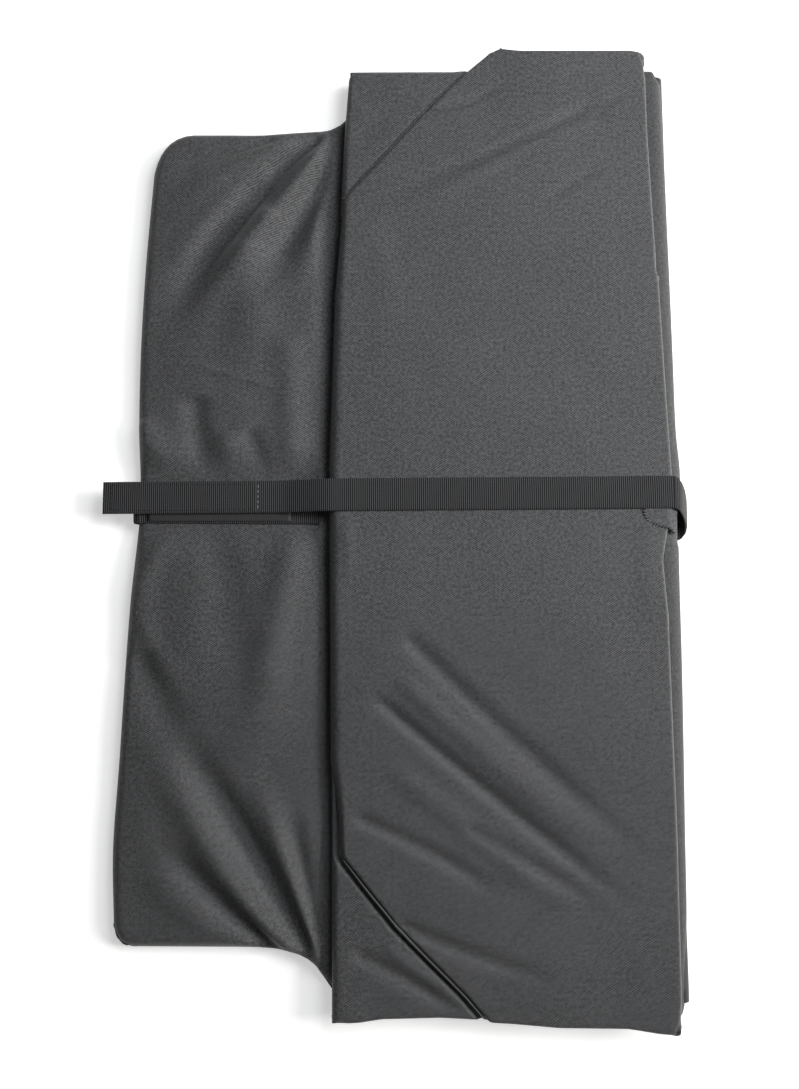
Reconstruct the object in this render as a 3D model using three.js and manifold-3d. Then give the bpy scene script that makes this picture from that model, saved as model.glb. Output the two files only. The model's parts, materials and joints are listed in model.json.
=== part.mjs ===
// Film changing bag: a twill bag in a liner bag, folded in two with its sleeves tucked inside and
// held flat by one webbing strap with a hook end and a loop end. Millimetres, +Z up, lying on Z = 0.
// The zip end points to -X, the fold is at +X, and the bag's width runs along Y.
import * as THREE from 'three';
import { mergeVertices } from 'three/addons/utils/BufferGeometryUtils.js';
import Module from 'manifold-3d';

const wasm = await Module();
wasm.setup();

// ---- Driving dimensions -------------------------------------------------------------------------
const GAP = 0.3;                 // clearance left between touching layers
const HALF_LENGTH = 301.5;       // half the packet's length along Y
const HALF_DEPTH = 179.2;        // half the overall size along X, tab end to strap wrap
const FOLD_X = 169.2;            // axis of the fold between body and shoulders
const FOLD_Z = 9.9;

// Heights of each layer, bottom and top.
const LAYER = {
  bodyLower: [0, 2.4],
  outerTape: [2.7, 3.3],
  outerCoil: [2.6, 3.9],
  linerLower: [5.0, 5.6],
  innerTape: [5.9, 6.4],
  innerCoil: [5.8, 6.9],
  linerUpper: [8.0, 8.6],
  bodyUpper: [8.9, 9.9],
  sleeveFar: [10.2, 11.6],
  sleeveNear: [11.9, 13.3],
  shoulderLower: [13.6, 14.6],
  shoulderLinerLower: [14.9, 15.5],
  shoulderLinerUpper: [15.8, 16.4],
  sleeveRoot: [16.7, 18.1],
  shoulderUpper: [18.4, 19.8],
  strapTop: [20.1, 21.3],
};
const PAD_TOP = 11.4;            // height of the loose, puffed part of the zip end
const PAD_RIGHT = -46;           // the puffed part stops here, clear of the folded packet
const GROOVE = [-7, 29];         // the strap presses the puffed part flat between these

// Mitred corners of the shoulder panel, where the sleeves are sewn on.
const MITRE_TOP = { inner: [-34, 207], outer: [64.5, HALF_LENGTH] };
const MITRE_BOTTOM = { inner: [-31, -204.5], outer: [53, -292.5] };
const SEAM_WIDTH = 5;

// Sleeves: distances across the packet are measured from the fold axis, lengths from the hinge.
const SLEEVE_HINGE_Y = 288;
const SLEEVE_HALF = 104;         // length of the half next to the shoulder
const SLEEVE_OUTER = 200;        // edge nearest the packet's open side
const SLEEVE_INNER_ROOT = 55;    // the other edge, at the shoulder ...
const SLEEVE_INNER_MID = 112;    // ... at the middle fold ...
const SLEEVE_INNER_CUFF = 118;   // ... and at the cuff
const SLEEVE_OUTER_CUFF = 193;
const CUFF_START = 20;           // the cuff casing lies between these distances from the hinge
const CUFF_END = 6;
const CUFF_WALL = 0.3;

// Strap.
const STRAP_WIDTH = 20;
const STRAP_THICK = 1.1;
const TAB_HINGE_X = -87.15;      // row of stitches where the hook end starts
const TAB_BOTTOM = 13.1;
const TOP_RUN_Y = 12;            // centre of the top run at the tab's end
const TOP_RUN_SLOPE = 0.0077;    // the run lies at a slight angle
const UNDER_Y_LEFT = 7;          // centre of the run under the bag, at its left end
const UNDER_Y_RIGHT = -4;        // and at its right end
const LEFT_WRAP = { x: -158.8, z: 5.6, outer: 5.6 };
const RIGHT_WRAP_RADIUS = 9.9;
const RIGHT_WRAP_END = 65;       // degrees above the horizontal where the sewn-down wrap ends
const RIGHT_WRAP_SKEW = 18;      // sideways drift of the wrap over its height
const LOOP_END = [-158.5, -48];
const LOOP_BOTTOM = 10.2;

// Zips, both running along Y.
const ZIP = {
  slotHalf: 6,
  slot: [-219, 227],
  tapeWidth: 14.5,
  coilInner: 1.0,
  coilWidth: 1.9,
  stopLength: 3,
  sliderHalf: 4.5,
  sliderLength: 10,
  neckHalf: 0.7,
  sliderY: -205,
  travel: 400,
};
const PULL_CLEARANCE = 1.2;      // room for the pull to turn beside its slider
const OUTER_ZIP_X = -130;
const INNER_ZIP_X = -92;

// ---- Finishes -----------------------------------------------------------------------------------
const FINISH = {
  twill: { color: 0x4c4e50, roughness: 0.82, metalness: 0 },
  liner: { color: 0x1d1d20, roughness: 0.6, metalness: 0 },
  webbing: { color: 0x35373b, roughness: 0.75, metalness: 0 },
  tape: { color: 0x232427, roughness: 0.9, metalness: 0 },
  coil: { color: 0x1a1a1c, roughness: 0.4, metalness: 0 },
  metal: { color: 0x2b2b2d, roughness: 0.35, metalness: 0.9 },
  elastic: { color: 0x2a2a2c, roughness: 0.8, metalness: 0 },
};

const bag = new THREE.Group();

function add(name, geometry, finish) {
  const mesh = new THREE.Mesh(geometry, new THREE.MeshStandardMaterial(FINISH[finish]));
  mesh.name = name;
  bag.add(mesh);
}

// ---- Shape helpers ------------------------------------------------------------------------------
// A flat piece: an outline in XY, raised between two heights.
function plate(shape, [bottom, top]) {
  const geometry = new THREE.ExtrudeGeometry(shape, {
    depth: top - bottom,
    bevelEnabled: false,
    curveSegments: 8,
  });
  return geometry.translate(0, 0, bottom);
}

function polygon(points) {
  return new THREE.Shape(points.map(([x, y]) => new THREE.Vector2(x, y)));
}

function rectangle([x0, x1], [y0, y1]) {
  return polygon([[x0, y0], [x1, y0], [x1, y1], [x0, y1]]);
}

function block(xRange, yRange, zRange) {
  return plate(rectangle(xRange, yRange), zRange);
}

// A profile in XZ carried along Y from y0 to y1.
function alongY(shape, [y0, y1]) {
  const geometry = new THREE.ExtrudeGeometry(shape, {
    depth: y1 - y0,
    bevelEnabled: false,
    curveSegments: 12,
  });
  return geometry.rotateX(Math.PI / 2).translate(0, y1, 0);
}

// Part of a round ply in XZ: a band of the given thickness between two angles.
function band(x, z, outer, thick, startDegrees, endDegrees) {
  const start = THREE.MathUtils.degToRad(startDegrees);
  const end = THREE.MathUtils.degToRad(endDegrees);
  const shape = new THREE.Shape();
  shape.absarc(x, z, outer, start, end, false);
  shape.absarc(x, z, outer - thick, end, start, true);
  shape.closePath();
  return shape;
}

// Slides every point along Y by an amount that depends on where it is.
function skewY(geometry, shift) {
  const position = geometry.attributes.position;
  for (let i = 0; i < position.count; i += 1) {
    const moved = position.getY(i) + shift(position.getX(i), position.getZ(i));
    position.setY(i, moved);
  }
  return geometry;
}

function solidOf(geometry) {
  const bare = geometry.clone();
  bare.deleteAttribute('normal');
  bare.deleteAttribute('uv');
  const merged = mergeVertices(bare, 1e-4);
  return new wasm.Manifold(new wasm.Mesh({
    numProp: 3,
    vertProperties: new Float32Array(merged.attributes.position.array),
    triVerts: new Uint32Array(merged.index.array),
  }));
}

function geometryOf(solid) {
  const mesh = solid.getMesh();
  const geometry = new THREE.BufferGeometry();
  geometry.setAttribute('position', new THREE.BufferAttribute(mesh.vertProperties, 3));
  geometry.setIndex(new THREE.BufferAttribute(mesh.triVerts, 1));
  geometry.computeVertexNormals();
  return geometry;
}

function cut(geometry, ...tools) {
  return geometryOf(tools.reduce((solid, tool) => solid.subtract(solidOf(tool)), solidOf(geometry)));
}

function join(geometry, ...others) {
  return geometryOf(others.reduce((solid, other) => solid.add(solidOf(other)), solidOf(geometry)));
}

function keep(geometry, region) {
  return geometryOf(solidOf(geometry).intersect(solidOf(region)));
}

// ---- Outlines -----------------------------------------------------------------------------------
// The body lying flat: rounded corners at the zip end, flared sides that widen towards the fold.
function bodyOutline() {
  const shape = new THREE.Shape();
  shape.moveTo(-158.5, 215);
  shape.quadraticCurveTo(-157.6, 249, -130, 249);
  shape.lineTo(-84, 250);
  shape.quadraticCurveTo(-52, 251, -38, 276);
  shape.lineTo(-26, 283);
  shape.lineTo(FOLD_X - GAP, 288);
  shape.lineTo(FOLD_X - GAP, -290);
  shape.lineTo(-24, -288);
  shape.lineTo(-40, -280);
  shape.quadraticCurveTo(-50, -257, -88, -255.5);
  shape.lineTo(-150, -255);
  shape.quadraticCurveTo(-168, -254, -170, -218);
  shape.lineTo(-165, -74);
  shape.lineTo(-161.5, 0);
  shape.lineTo(-160, 139);
  shape.closePath();
  return shape;
}

// The shoulder panel: mitred at both corners of its open side.
function shoulderOutline() {
  const shape = new THREE.Shape();
  shape.moveTo(...MITRE_TOP.inner);
  shape.lineTo(...MITRE_TOP.outer);
  shape.lineTo(150, HALF_LENGTH);
  shape.quadraticCurveTo(160, HALF_LENGTH, 160, 290);
  shape.lineTo(161.5, 200);
  shape.lineTo(163, 80);
  shape.lineTo(161.5, -51);
  shape.lineTo(161.5, -292);
  shape.quadraticCurveTo(161.5, -HALF_LENGTH, 152, -HALF_LENGTH);
  shape.lineTo(117, -297);
  shape.lineTo(...MITRE_BOTTOM.outer);
  shape.lineTo(...MITRE_BOTTOM.inner);
  shape.lineTo(-42, -198);
  shape.lineTo(-42, 26);
  shape.lineTo(-40, 73);
  shape.lineTo(-37, 205);
  shape.closePath();
  return shape;
}

// An inner ply of the shoulders: the same mitred shape, a little smaller all round.
function shoulderPly(rightEdge) {
  return polygon([
    [-30, 196], [62, 287], [rightEdge, 287], [rightEdge, -287], [56, -287], [-30, -200],
  ]);
}

// ---- Bag body -----------------------------------------------------------------------------------
const strapNotch = block([-200, LEFT_WRAP.x + GAP], [UNDER_Y_LEFT - 11, UNDER_Y_LEFT + 11], [-1, 15]);

function underRunOutline(margin) {
  const half = STRAP_WIDTH / 2 + margin;
  const left = LEFT_WRAP.x + GAP - margin;
  const right = FOLD_X - GAP + margin;
  return polygon([
    [left, UNDER_Y_LEFT - half], [right, UNDER_Y_RIGHT - half],
    [right, UNDER_Y_RIGHT + half], [left, UNDER_Y_LEFT + half],
  ]);
}

function zipSlot(x) {
  return block([x - ZIP.slotHalf, x + ZIP.slotHalf], ZIP.slot, [-1, 7]);
}

function addBody() {
  const strapChannel = plate(underRunOutline(GAP * 2), [-1, STRAP_THICK + GAP]);
  const lower = plate(bodyOutline(), LAYER.bodyLower);
  add('body_lower_panel', cut(lower, strapChannel, zipSlot(OUTER_ZIP_X), strapNotch), 'twill');

  const upper = plate(bodyOutline(), LAYER.bodyUpper);
  const pad = plate(bodyOutline(), [LAYER.bodyUpper[0], PAD_TOP]);
  const puffed = keep(pad, block([-200, PAD_RIGHT], [-320, 320], [0, 20]));
  const groove = block([-210, PAD_RIGHT + 1], GROOVE, [LAYER.bodyUpper[1], 20]);
  add('body_upper_panel', cut(join(upper, puffed), groove, strapNotch), 'twill');

  const inset = (geometry) => geometry.translate(-4, 1, 0).scale(0.965, 0.975, 1).translate(4, -1, 0);
  const linerLower = inset(plate(bodyOutline(), LAYER.linerLower));
  add('liner_lower_panel', cut(linerLower, zipSlot(INNER_ZIP_X), strapNotch), 'liner');
  const linerUpper = inset(plate(bodyOutline(), LAYER.linerUpper));
  add('liner_upper_panel', cut(linerUpper, strapNotch), 'liner');
}

// The plies that turn round the fold between the body and the shoulders.
function addFold() {
  const along = [-290, 290];
  add('fold_outer_ply', alongY(band(FOLD_X, FOLD_Z, 7.5, 1, -90, 90), along), 'twill');
  add('fold_liner_ply', alongY(band(FOLD_X, FOLD_Z, 6.2, 0.8, -90, 90), along), 'liner');
}

// ---- Zips ---------------------------------------------------------------------------------------
function addZip(name, x, tape, coil, slider) {
  const first = ZIP.sliderY - ZIP.sliderLength / 2 - ZIP.stopLength - 2 * GAP;
  const last = ZIP.sliderY + ZIP.travel + ZIP.sliderLength / 2 + ZIP.stopLength + 2 * GAP;
  const coilRange = [first + ZIP.stopLength + GAP, last - ZIP.stopLength - GAP];
  const coilOuter = ZIP.coilInner + ZIP.coilWidth;
  for (const [side, sign] of [['near', -1], ['far', 1]]) {
    const span = (a, b) => (sign > 0 ? [x + a, x + b] : [x - b, x - a]);
    add(`${name}_tape_${side}`, block(span(coilOuter + GAP, coilOuter + GAP + ZIP.tapeWidth),
      [first - 2, last + 2], tape), 'tape');
    add(`${name}_coil_${side}`, block(span(ZIP.coilInner, coilOuter), coilRange, coil), 'coil');
  }
  const stopWidth = [x - coilOuter, x + coilOuter];
  add(`${name}_stop_bottom`, block(stopWidth, [first, first + ZIP.stopLength], coil), 'metal');
  add(`${name}_stop_top`, block(stopWidth, [last - ZIP.stopLength, last], coil), 'metal');

  const width = [x - ZIP.sliderHalf, x + ZIP.sliderHalf];
  const length = [ZIP.sliderY - ZIP.sliderLength / 2, ZIP.sliderY + ZIP.sliderLength / 2];
  const overlap = 0.1;
  const neck = block([x - ZIP.neckHalf, x + ZIP.neckHalf], [ZIP.sliderY - 4, ZIP.sliderY + 1],
    [slider[1] - overlap, slider[2] + overlap]);
  const body = join(block(width, length, [slider[0], slider[1]]), neck,
    block(width, length, [slider[2], slider[3]]));
  add(`${name}_slider`, body, 'metal');

  const pullStart = length[1] + PULL_CLEARANCE;
  const pull = new THREE.Shape();
  pull.moveTo(x - 2.2, pullStart);
  pull.lineTo(x + 2.2, pullStart);
  pull.lineTo(x + 2.8, pullStart + 19);
  pull.absarc(x, pullStart + 19, 2.8, 0, Math.PI, false);
  pull.closePath();
  const eye = new THREE.Path();
  eye.absarc(x, pullStart + 17.5, 1.3, 0, 2 * Math.PI, true);
  pull.holes.push(eye);
  add(`${name}_pull`, plate(pull, [slider[0], slider[1]]), 'metal');
}

// ---- Shoulders and sleeves ----------------------------------------------------------------------
// A narrow strip along the outside of a mitred edge.
function seamStrip({ inner, outer }, side) {
  const from = new THREE.Vector2(...inner);
  const to = new THREE.Vector2(...outer);
  const along = to.clone().sub(from).normalize();
  const out = new THREE.Vector2(-along.y, along.x).multiplyScalar(side);
  const corner = (base, offset, slide) => base.clone().addScaledVector(out, offset)
    .addScaledVector(along, slide);
  return new THREE.Shape([
    corner(from, GAP, 4), corner(to, GAP, -8),
    corner(to, GAP + SEAM_WIDTH, -12), corner(from, GAP + SEAM_WIDTH, 8),
  ]);
}

function addShoulders() {
  add('shoulder_upper_panel', plate(shoulderOutline(), LAYER.shoulderUpper), 'twill');
  add('shoulder_lower_panel', plate(shoulderPly(159), LAYER.shoulderLower), 'twill');
  add('shoulder_liner_lower', plate(shoulderPly(159.6), LAYER.shoulderLinerLower), 'liner');
  add('shoulder_liner_upper', plate(shoulderPly(160.4), LAYER.shoulderLinerUpper), 'liner');

  const rootRight = polygon([
    [-35, 188], [-24, 188], [84, 297], [60, 297], [46, 288], [-33, 289.5],
  ]);
  add('sleeve_root_right', plate(rootRight, LAYER.sleeveRoot), 'twill');
  const rootLeft = polygon([
    [-41.5, -186], [-39.5, -297.5], [-31, -297], [1, -293], [50, -291], [72, -291], [-33, -186],
  ]);
  add('sleeve_root_left', plate(rootLeft, LAYER.sleeveRoot), 'twill');

  const seam = [LAYER.shoulderUpper[0], LAYER.shoulderUpper[0] + 0.6];
  add('armhole_seam_right', plate(seamStrip(MITRE_TOP, 1), seam), 'twill');
  add('armhole_seam_left', plate(seamStrip(MITRE_BOTTOM, -1), seam), 'twill');
}

// One folded sleeve. side is +1 for the sleeve at +Y and -1 for the one at -Y.
function addSleeve(name, side) {
  const place = (across, inward) => [FOLD_X - across, side * (SLEEVE_HINGE_Y - inward)];
  const outline = (points) => polygon(points.map(([across, inward]) => place(across, inward)));
  const near = outline([
    [SLEEVE_OUTER, 0.5], [SLEEVE_OUTER, SLEEVE_HALF],
    [SLEEVE_INNER_MID, SLEEVE_HALF], [SLEEVE_INNER_ROOT, 0.5],
  ]);
  add(`${name}_near`, plate(near, LAYER.sleeveNear), 'twill');
  const far = outline([
    [SLEEVE_OUTER - 1, SLEEVE_HALF - 0.5], [SLEEVE_OUTER_CUFF, CUFF_START],
    [SLEEVE_INNER_CUFF, CUFF_START], [SLEEVE_INNER_MID, SLEEVE_HALF - 0.5],
  ]);
  add(`${name}_far`, plate(far, LAYER.sleeveFar), 'twill');

  const cuffX = [FOLD_X - SLEEVE_OUTER_CUFF, FOLD_X - SLEEVE_INNER_CUFF];
  const yRange = (a, b) => [place(0, a)[1], place(0, b)[1]].sort((p, q) => p - q);
  const [low, high] = LAYER.sleeveFar;
  const casing = block(cuffX, yRange(CUFF_START - GAP, CUFF_END), [low, high]);
  const pocket = block([cuffX[0] - 1, cuffX[1] + 1], yRange(CUFF_START + 1, CUFF_END + CUFF_WALL),
    [low + CUFF_WALL, high - CUFF_WALL]);
  add(`${name}_cuff_casing`, cut(casing, pocket), 'twill');
  add(`${name}_cuff_elastic`, block([cuffX[0] + 2, cuffX[1] - 2], yRange(CUFF_START - 3, CUFF_END + 2),
    [low + CUFF_WALL + 0.25, high - CUFF_WALL - 0.25]), 'elastic');
}

// ---- Strap --------------------------------------------------------------------------------------
function addStrap() {
  const half = STRAP_WIDTH / 2;
  add('strap_under_run', plate(underRunOutline(0), [0, STRAP_THICK]), 'webbing');
  const left = band(LEFT_WRAP.x, LEFT_WRAP.z, LEFT_WRAP.outer, STRAP_THICK, 90, 270);
  add('strap_left_wrap', alongY(left, [UNDER_Y_LEFT - half, UNDER_Y_LEFT + half]), 'webbing');

  const right = alongY(band(FOLD_X, FOLD_Z, RIGHT_WRAP_RADIUS, STRAP_THICK, -90, RIGHT_WRAP_END),
    [UNDER_Y_RIGHT - half, UNDER_Y_RIGHT + half]);
  add('strap_right_wrap', skewY(right, (x, z) => (RIGHT_WRAP_SKEW * z) / (2 * FOLD_Z)), 'webbing');

  const topRunY = (x) => TOP_RUN_SLOPE * (x + HALF_DEPTH);
  const topWidth = [TOP_RUN_Y - half, TOP_RUN_Y + half];
  const [runBottom, runTop] = LAYER.strapTop;
  const tabTop = TAB_BOTTOM + STRAP_THICK;
  const runEnd = TAB_HINGE_X + GAP / 2;
  const run = polygon([
    [171.3, runBottom], [171.3, runTop], [-40, runTop], [-46, runTop - 0.9], [-70, tabTop + 0.5],
    [-76, tabTop], [runEnd, tabTop], [runEnd, TAB_BOTTOM], [-75, TAB_BOTTOM], [-69, TAB_BOTTOM + 0.3],
    [-44.4, runBottom - 0.6], [-42.6, runBottom],
  ]);
  add('strap_top_run', skewY(alongY(run, topWidth), topRunY), 'webbing');

  const tab = rectangle([-HALF_DEPTH, TAB_HINGE_X - GAP / 2], [TAB_BOTTOM, tabTop]);
  add('strap_tab_webbing', skewY(alongY(tab, topWidth), topRunY), 'webbing');
  const hook = rectangle([-176, -92], [TAB_BOTTOM - 0.8, TAB_BOTTOM - GAP]);
  const hookWidth = [topWidth[0] + 1, topWidth[1] - 1];
  add('strap_hook_tape', skewY(alongY(hook, hookWidth), topRunY), 'tape');

  const loopWidth = [UNDER_Y_LEFT - half, UNDER_Y_LEFT + half];
  add('strap_loop_webbing', block(LOOP_END, loopWidth, [LOOP_BOTTOM, LOOP_BOTTOM + 1]), 'webbing');
  const loopTape = [LOOP_BOTTOM + 1 + GAP, LOOP_BOTTOM + 1.8];
  add('strap_loop_tape', block([-154, -66], [loopWidth[0] + 1, loopWidth[1] - 1], loopTape), 'tape');

  const patch = [LAYER.shoulderUpper[1] + GAP, LAYER.shoulderUpper[1] + GAP + 0.7];
  add('strap_anchor_patch', block([150, 162], [-14, 2.5], patch), 'webbing');
}

addBody();
addFold();
addZip('outer_zip', OUTER_ZIP_X, LAYER.outerTape, LAYER.outerCoil, [1.5, 2.3, 4.2, 4.7]);
addZip('inner_zip', INNER_ZIP_X, LAYER.innerTape, LAYER.innerCoil, [4.9, 5.5, 7.2, 7.7]);
addShoulders();
addSleeve('sleeve_right', 1);
addSleeve('sleeve_left', -1);
addStrap();

export default bag;
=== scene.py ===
"""Film changing bag folded flat under its strap: cloth, webbing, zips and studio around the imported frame."""
import json
import math

import bpy
import numpy as np
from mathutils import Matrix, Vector


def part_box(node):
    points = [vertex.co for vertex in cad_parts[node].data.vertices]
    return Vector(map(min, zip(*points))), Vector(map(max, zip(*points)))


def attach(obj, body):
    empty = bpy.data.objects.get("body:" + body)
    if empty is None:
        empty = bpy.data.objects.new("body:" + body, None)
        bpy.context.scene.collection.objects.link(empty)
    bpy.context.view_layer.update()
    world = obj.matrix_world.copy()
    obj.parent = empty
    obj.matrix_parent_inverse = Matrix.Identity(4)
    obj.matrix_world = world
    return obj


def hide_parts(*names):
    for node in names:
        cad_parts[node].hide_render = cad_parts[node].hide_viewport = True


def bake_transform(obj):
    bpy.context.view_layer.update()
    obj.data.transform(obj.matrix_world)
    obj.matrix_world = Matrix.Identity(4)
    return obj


bl_info = {
    "name": "Folded changing bag",
    "version": (1, 0, 0),
    "blender": (4, 5, 0),
    "location": "View3D > Sidebar > Bag",
    "description": "Builds a folded double-layer changing bag, its strap and its zips piece by piece",
    "category": "Add Mesh",
}

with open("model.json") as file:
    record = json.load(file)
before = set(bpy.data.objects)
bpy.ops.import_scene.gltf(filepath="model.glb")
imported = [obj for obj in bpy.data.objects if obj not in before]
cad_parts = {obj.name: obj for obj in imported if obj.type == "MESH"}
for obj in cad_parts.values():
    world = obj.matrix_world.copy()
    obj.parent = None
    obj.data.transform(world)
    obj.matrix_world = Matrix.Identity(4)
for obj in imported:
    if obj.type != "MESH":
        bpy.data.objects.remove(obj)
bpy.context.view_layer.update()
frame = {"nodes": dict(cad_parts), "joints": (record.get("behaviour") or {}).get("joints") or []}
MM = 0.001


def node_box(node):
    """Lowest and highest corner of a CAD node at rest, in millimetres."""
    low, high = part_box(node)
    return np.array(low) / MM, np.array(high) / MM


def layer(node):
    """Bottom and top height of a CAD node, in millimetres."""
    low, high = node_box(node)
    return float(low[2]), float(high[2])


def joint_place(name):
    """A joint's pivot in millimetres."""
    found = next(j for j in frame["joints"] if j["name"] == name)
    return np.array(found["pos_m"]) / MM


FOLD = joint_place("shoulder_open")
SHOULDER_LOW, SHOULDER_HIGH = node_box("shoulder_upper_panel")
BODY_LOW, _ = node_box("body_upper_panel")
PACKET_LEFT = float(SHOULDER_LOW[0])
STRAP_TAB_LOW, STRAP_TAB_HIGH = node_box("strap_tab_webbing")


# ---- Settings ------------------------------------------------------------------------------------
def length(name, description, default):
    """A length property in metres, given in millimetres."""
    return bpy.props.FloatProperty(
        name=name, description=description, default=default * MM, unit="LENGTH", precision=5)


def colour(name, description, default):
    """A linear colour property."""
    return bpy.props.FloatVectorProperty(
        name=name, description=description, default=default, subtype="COLOR", size=3, min=0, max=1)


class BagClothSettings(bpy.types.PropertyGroup):
    """Sizes and colours of the bag's cloth."""
    ply: length("Ply", "Thickness of one ply of cloth", 0.45)
    crown: length("Crown", "How far the loose zip end stands up", 3.6)
    wrinkle: bpy.props.FloatProperty(
        name="Wrinkle depth", description="Depth of the creases against their listed depths", default=1.0)
    twill_pitch: length("Twill pitch", "Distance between two diagonal lines of the twill", 1.12)
    twill_dark: colour("Twill shade", "Twill in the valleys of the weave", (0.014, 0.0145, 0.0155))
    twill_light: colour("Twill face", "Twill on the crests of the weave", (0.098, 0.100, 0.104))
    lining: colour("Lining", "Rubber-coated lining cloth", (0.012, 0.012, 0.014))


class BagStrapSettings(bpy.types.PropertyGroup):
    """Sizes and colours of the webbing strap."""
    width: length("Width", "Width of the webbing", 20.0)
    thickness: length("Thickness", "Thickness of the webbing", 1.1)
    rib_pitch: length("Rib pitch", "Distance between two ribs of the grosgrain", 1.27)
    rib_height: length("Rib height", "Height of a rib", 0.36)
    stitch: length("Stitch", "Length of one stitch and its gap", 3.2)
    # The webbing's two colours hold painted shade between the ribs and a painted highlight on their crests.
    shade: colour("Webbing shade", "Webbing between its ribs", (0.0025, 0.0027, 0.003))
    face: colour("Webbing face", "Webbing on its ribs", (0.078, 0.081, 0.087))


class BagZipSettings(bpy.types.PropertyGroup):
    """Sizes and colours of the two zips."""
    tooth_pitch: length("Tooth pitch", "Distance between two turns of the coil", 1.6)
    tape: colour("Tape", "Woven tape", (0.018, 0.018, 0.020))
    coil: colour("Coil", "Nylon coil", (0.014, 0.014, 0.016))
    enamel: colour("Enamel", "Painted slider and pull", (0.022, 0.022, 0.024))


class BagStudioSettings(bpy.types.PropertyGroup):
    """Floor, light and camera."""
    floor: colour("Floor", "Pale floor", (0.92, 0.92, 0.92))
    lens: bpy.props.FloatProperty(
        name="Lens", description="Focal length", default=35.0, subtype="DISTANCE_CAMERA")
    camera_height: length("Camera height", "Height of the camera above the floor", 657.6)
    tilt: bpy.props.FloatProperty(
        name="Tilt", description="Lean of the view from straight down",
        default=math.radians(6.5), subtype="ANGLE")


# ---- Numbers over a grid -------------------------------------------------------------------------
def smooth(t):
    """Smoothstep: 3t squared less 2t cubed, held between 0 and 1."""
    t = np.clip(t, 0.0, 1.0)
    return t * t * (3.0 - 2.0 * t)


def rumple(x, y, size, seed):
    """Smooth value noise in -1..1: random heights on a lattice of the given size, smoothstepped between."""
    lattice = np.random.default_rng(seed).uniform(-1.0, 1.0, (64, 64))
    gx = x / size + 1000.0
    gy = y / size + 1000.0
    ix = np.floor(gx).astype(int)
    iy = np.floor(gy).astype(int)
    fx = smooth(gx - ix)
    fy = smooth(gy - iy)
    at = lambda a, b: lattice[(ix + a) % 64, (iy + b) % 64]
    low = at(0, 0) * (1 - fx) + at(1, 0) * fx
    high = at(0, 1) * (1 - fx) + at(1, 1) * fx
    return low * (1 - fy) + high * fy


def rumples(x, y, size, seed, octaves=3):
    """A sum of value noises, each half the size and half the height of the one before."""
    return sum(rumple(x, y, size / 2 ** k, seed + k) / 2 ** k for k in range(octaves))


def along_curve(points, count):
    """Places points evenly by length along a chain of straight lines through the given points."""
    points = np.array(points, float)
    steps = np.linalg.norm(np.diff(points, axis=0), axis=1)
    reach = np.concatenate([[0.0], np.cumsum(steps)])
    wanted = np.linspace(0.0, reach[-1], count)
    return np.stack([np.interp(wanted, reach, points[:, k]) for k in range(points.shape[1])], axis=1)


def arc(centre, radius, start, end, count=9):
    """Points of a circular arc, angles in degrees."""
    angle = np.radians(np.linspace(start, end, count))
    return [(centre[0] + radius * math.cos(a), centre[1] + radius * math.sin(a)) for a in angle]


def bend(start, middle, end, count=12):
    """Points of a quadratic curve that leaves start and reaches end, pulled towards middle."""
    t = np.linspace(0.0, 1.0, count)[:, None]
    start, middle, end = (np.array(p, float) for p in (start, middle, end))
    return [tuple(p) for p in (1 - t) ** 2 * start + 2 * t * (1 - t) * middle + t ** 2 * end]


def flowing(points, count=60):
    """A smooth curve through a few points: between two of them it is the cubic whose slopes are the mean
    slopes to their neighbours, with y growing all the way."""
    x, y = np.array(points, float).T
    slope = np.gradient(x, y)
    at = np.linspace(y[0], y[-1], count)
    k = np.clip(np.searchsorted(y, at) - 1, 0, len(y) - 2)
    gap = y[k + 1] - y[k]
    s = (at - y[k]) / gap
    wave_x = (x[k] * (1 + 2 * s) * (1 - s) ** 2 + slope[k] * gap * s * (1 - s) ** 2
              + x[k + 1] * s * s * (3 - 2 * s) - slope[k + 1] * gap * s * s * (1 - s))
    return [(float(a), float(b)) for a, b in zip(wave_x, at)]


def nearest(x, y, curve):
    """Distance from each point to a chain of straight lines, and how far along the chain that is, 0 to 1."""
    curve = np.array(curve, float)
    best = np.full(x.shape, 1e9)
    share = np.zeros(x.shape)
    for k in range(len(curve) - 1):
        ax, ay = curve[k]
        dx, dy = curve[k + 1] - curve[k]
        t = np.clip(((x - ax) * dx + (y - ay) * dy) / max(dx * dx + dy * dy, 1e-9), 0.0, 1.0)
        gap = np.hypot(x - ax - t * dx, y - ay - t * dy)
        closer = gap < best
        best = np.where(closer, gap, best)
        share = np.where(closer, (k + t) / (len(curve) - 1), share)
    return best, share


def creases(x, y, lines):
    """Height of soft folds: each line gives a bell-shaped ridge or valley along a quadratic curve.

    A line is (start, middle, end, height, half width at the start, half width at the end). The curve
    passes through all three points. The bell widens on its way, starts steeply and fades out slowly."""
    height = np.zeros(x.shape)
    for start, middle, end, rise, first, last in lines:
        pull = 2.0 * np.array(middle, float) - (np.array(start) + np.array(end)) / 2.0
        gap, share = nearest(x, y, bend(start, pull, end, 14))
        fade = smooth(share / 0.12) * (1.0 - smooth((share - 0.6) / 0.4))
        height += rise * fade * np.exp(-((gap / (first + (last - first) * share)) ** 2))
    return height


def edge_steps(span, step, edge):
    """Shares of a span: close together near both ends, then even steps between."""
    edge = np.array(edge, float) * min(1.0, 0.36 * span / edge[-1])
    inner = np.linspace(edge[-1], span - edge[-1], max(int((span - 2 * edge[-1]) / step), 3))
    return np.concatenate([edge[:-1], inner, (span - edge[:-1])[::-1]]) / span


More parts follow.
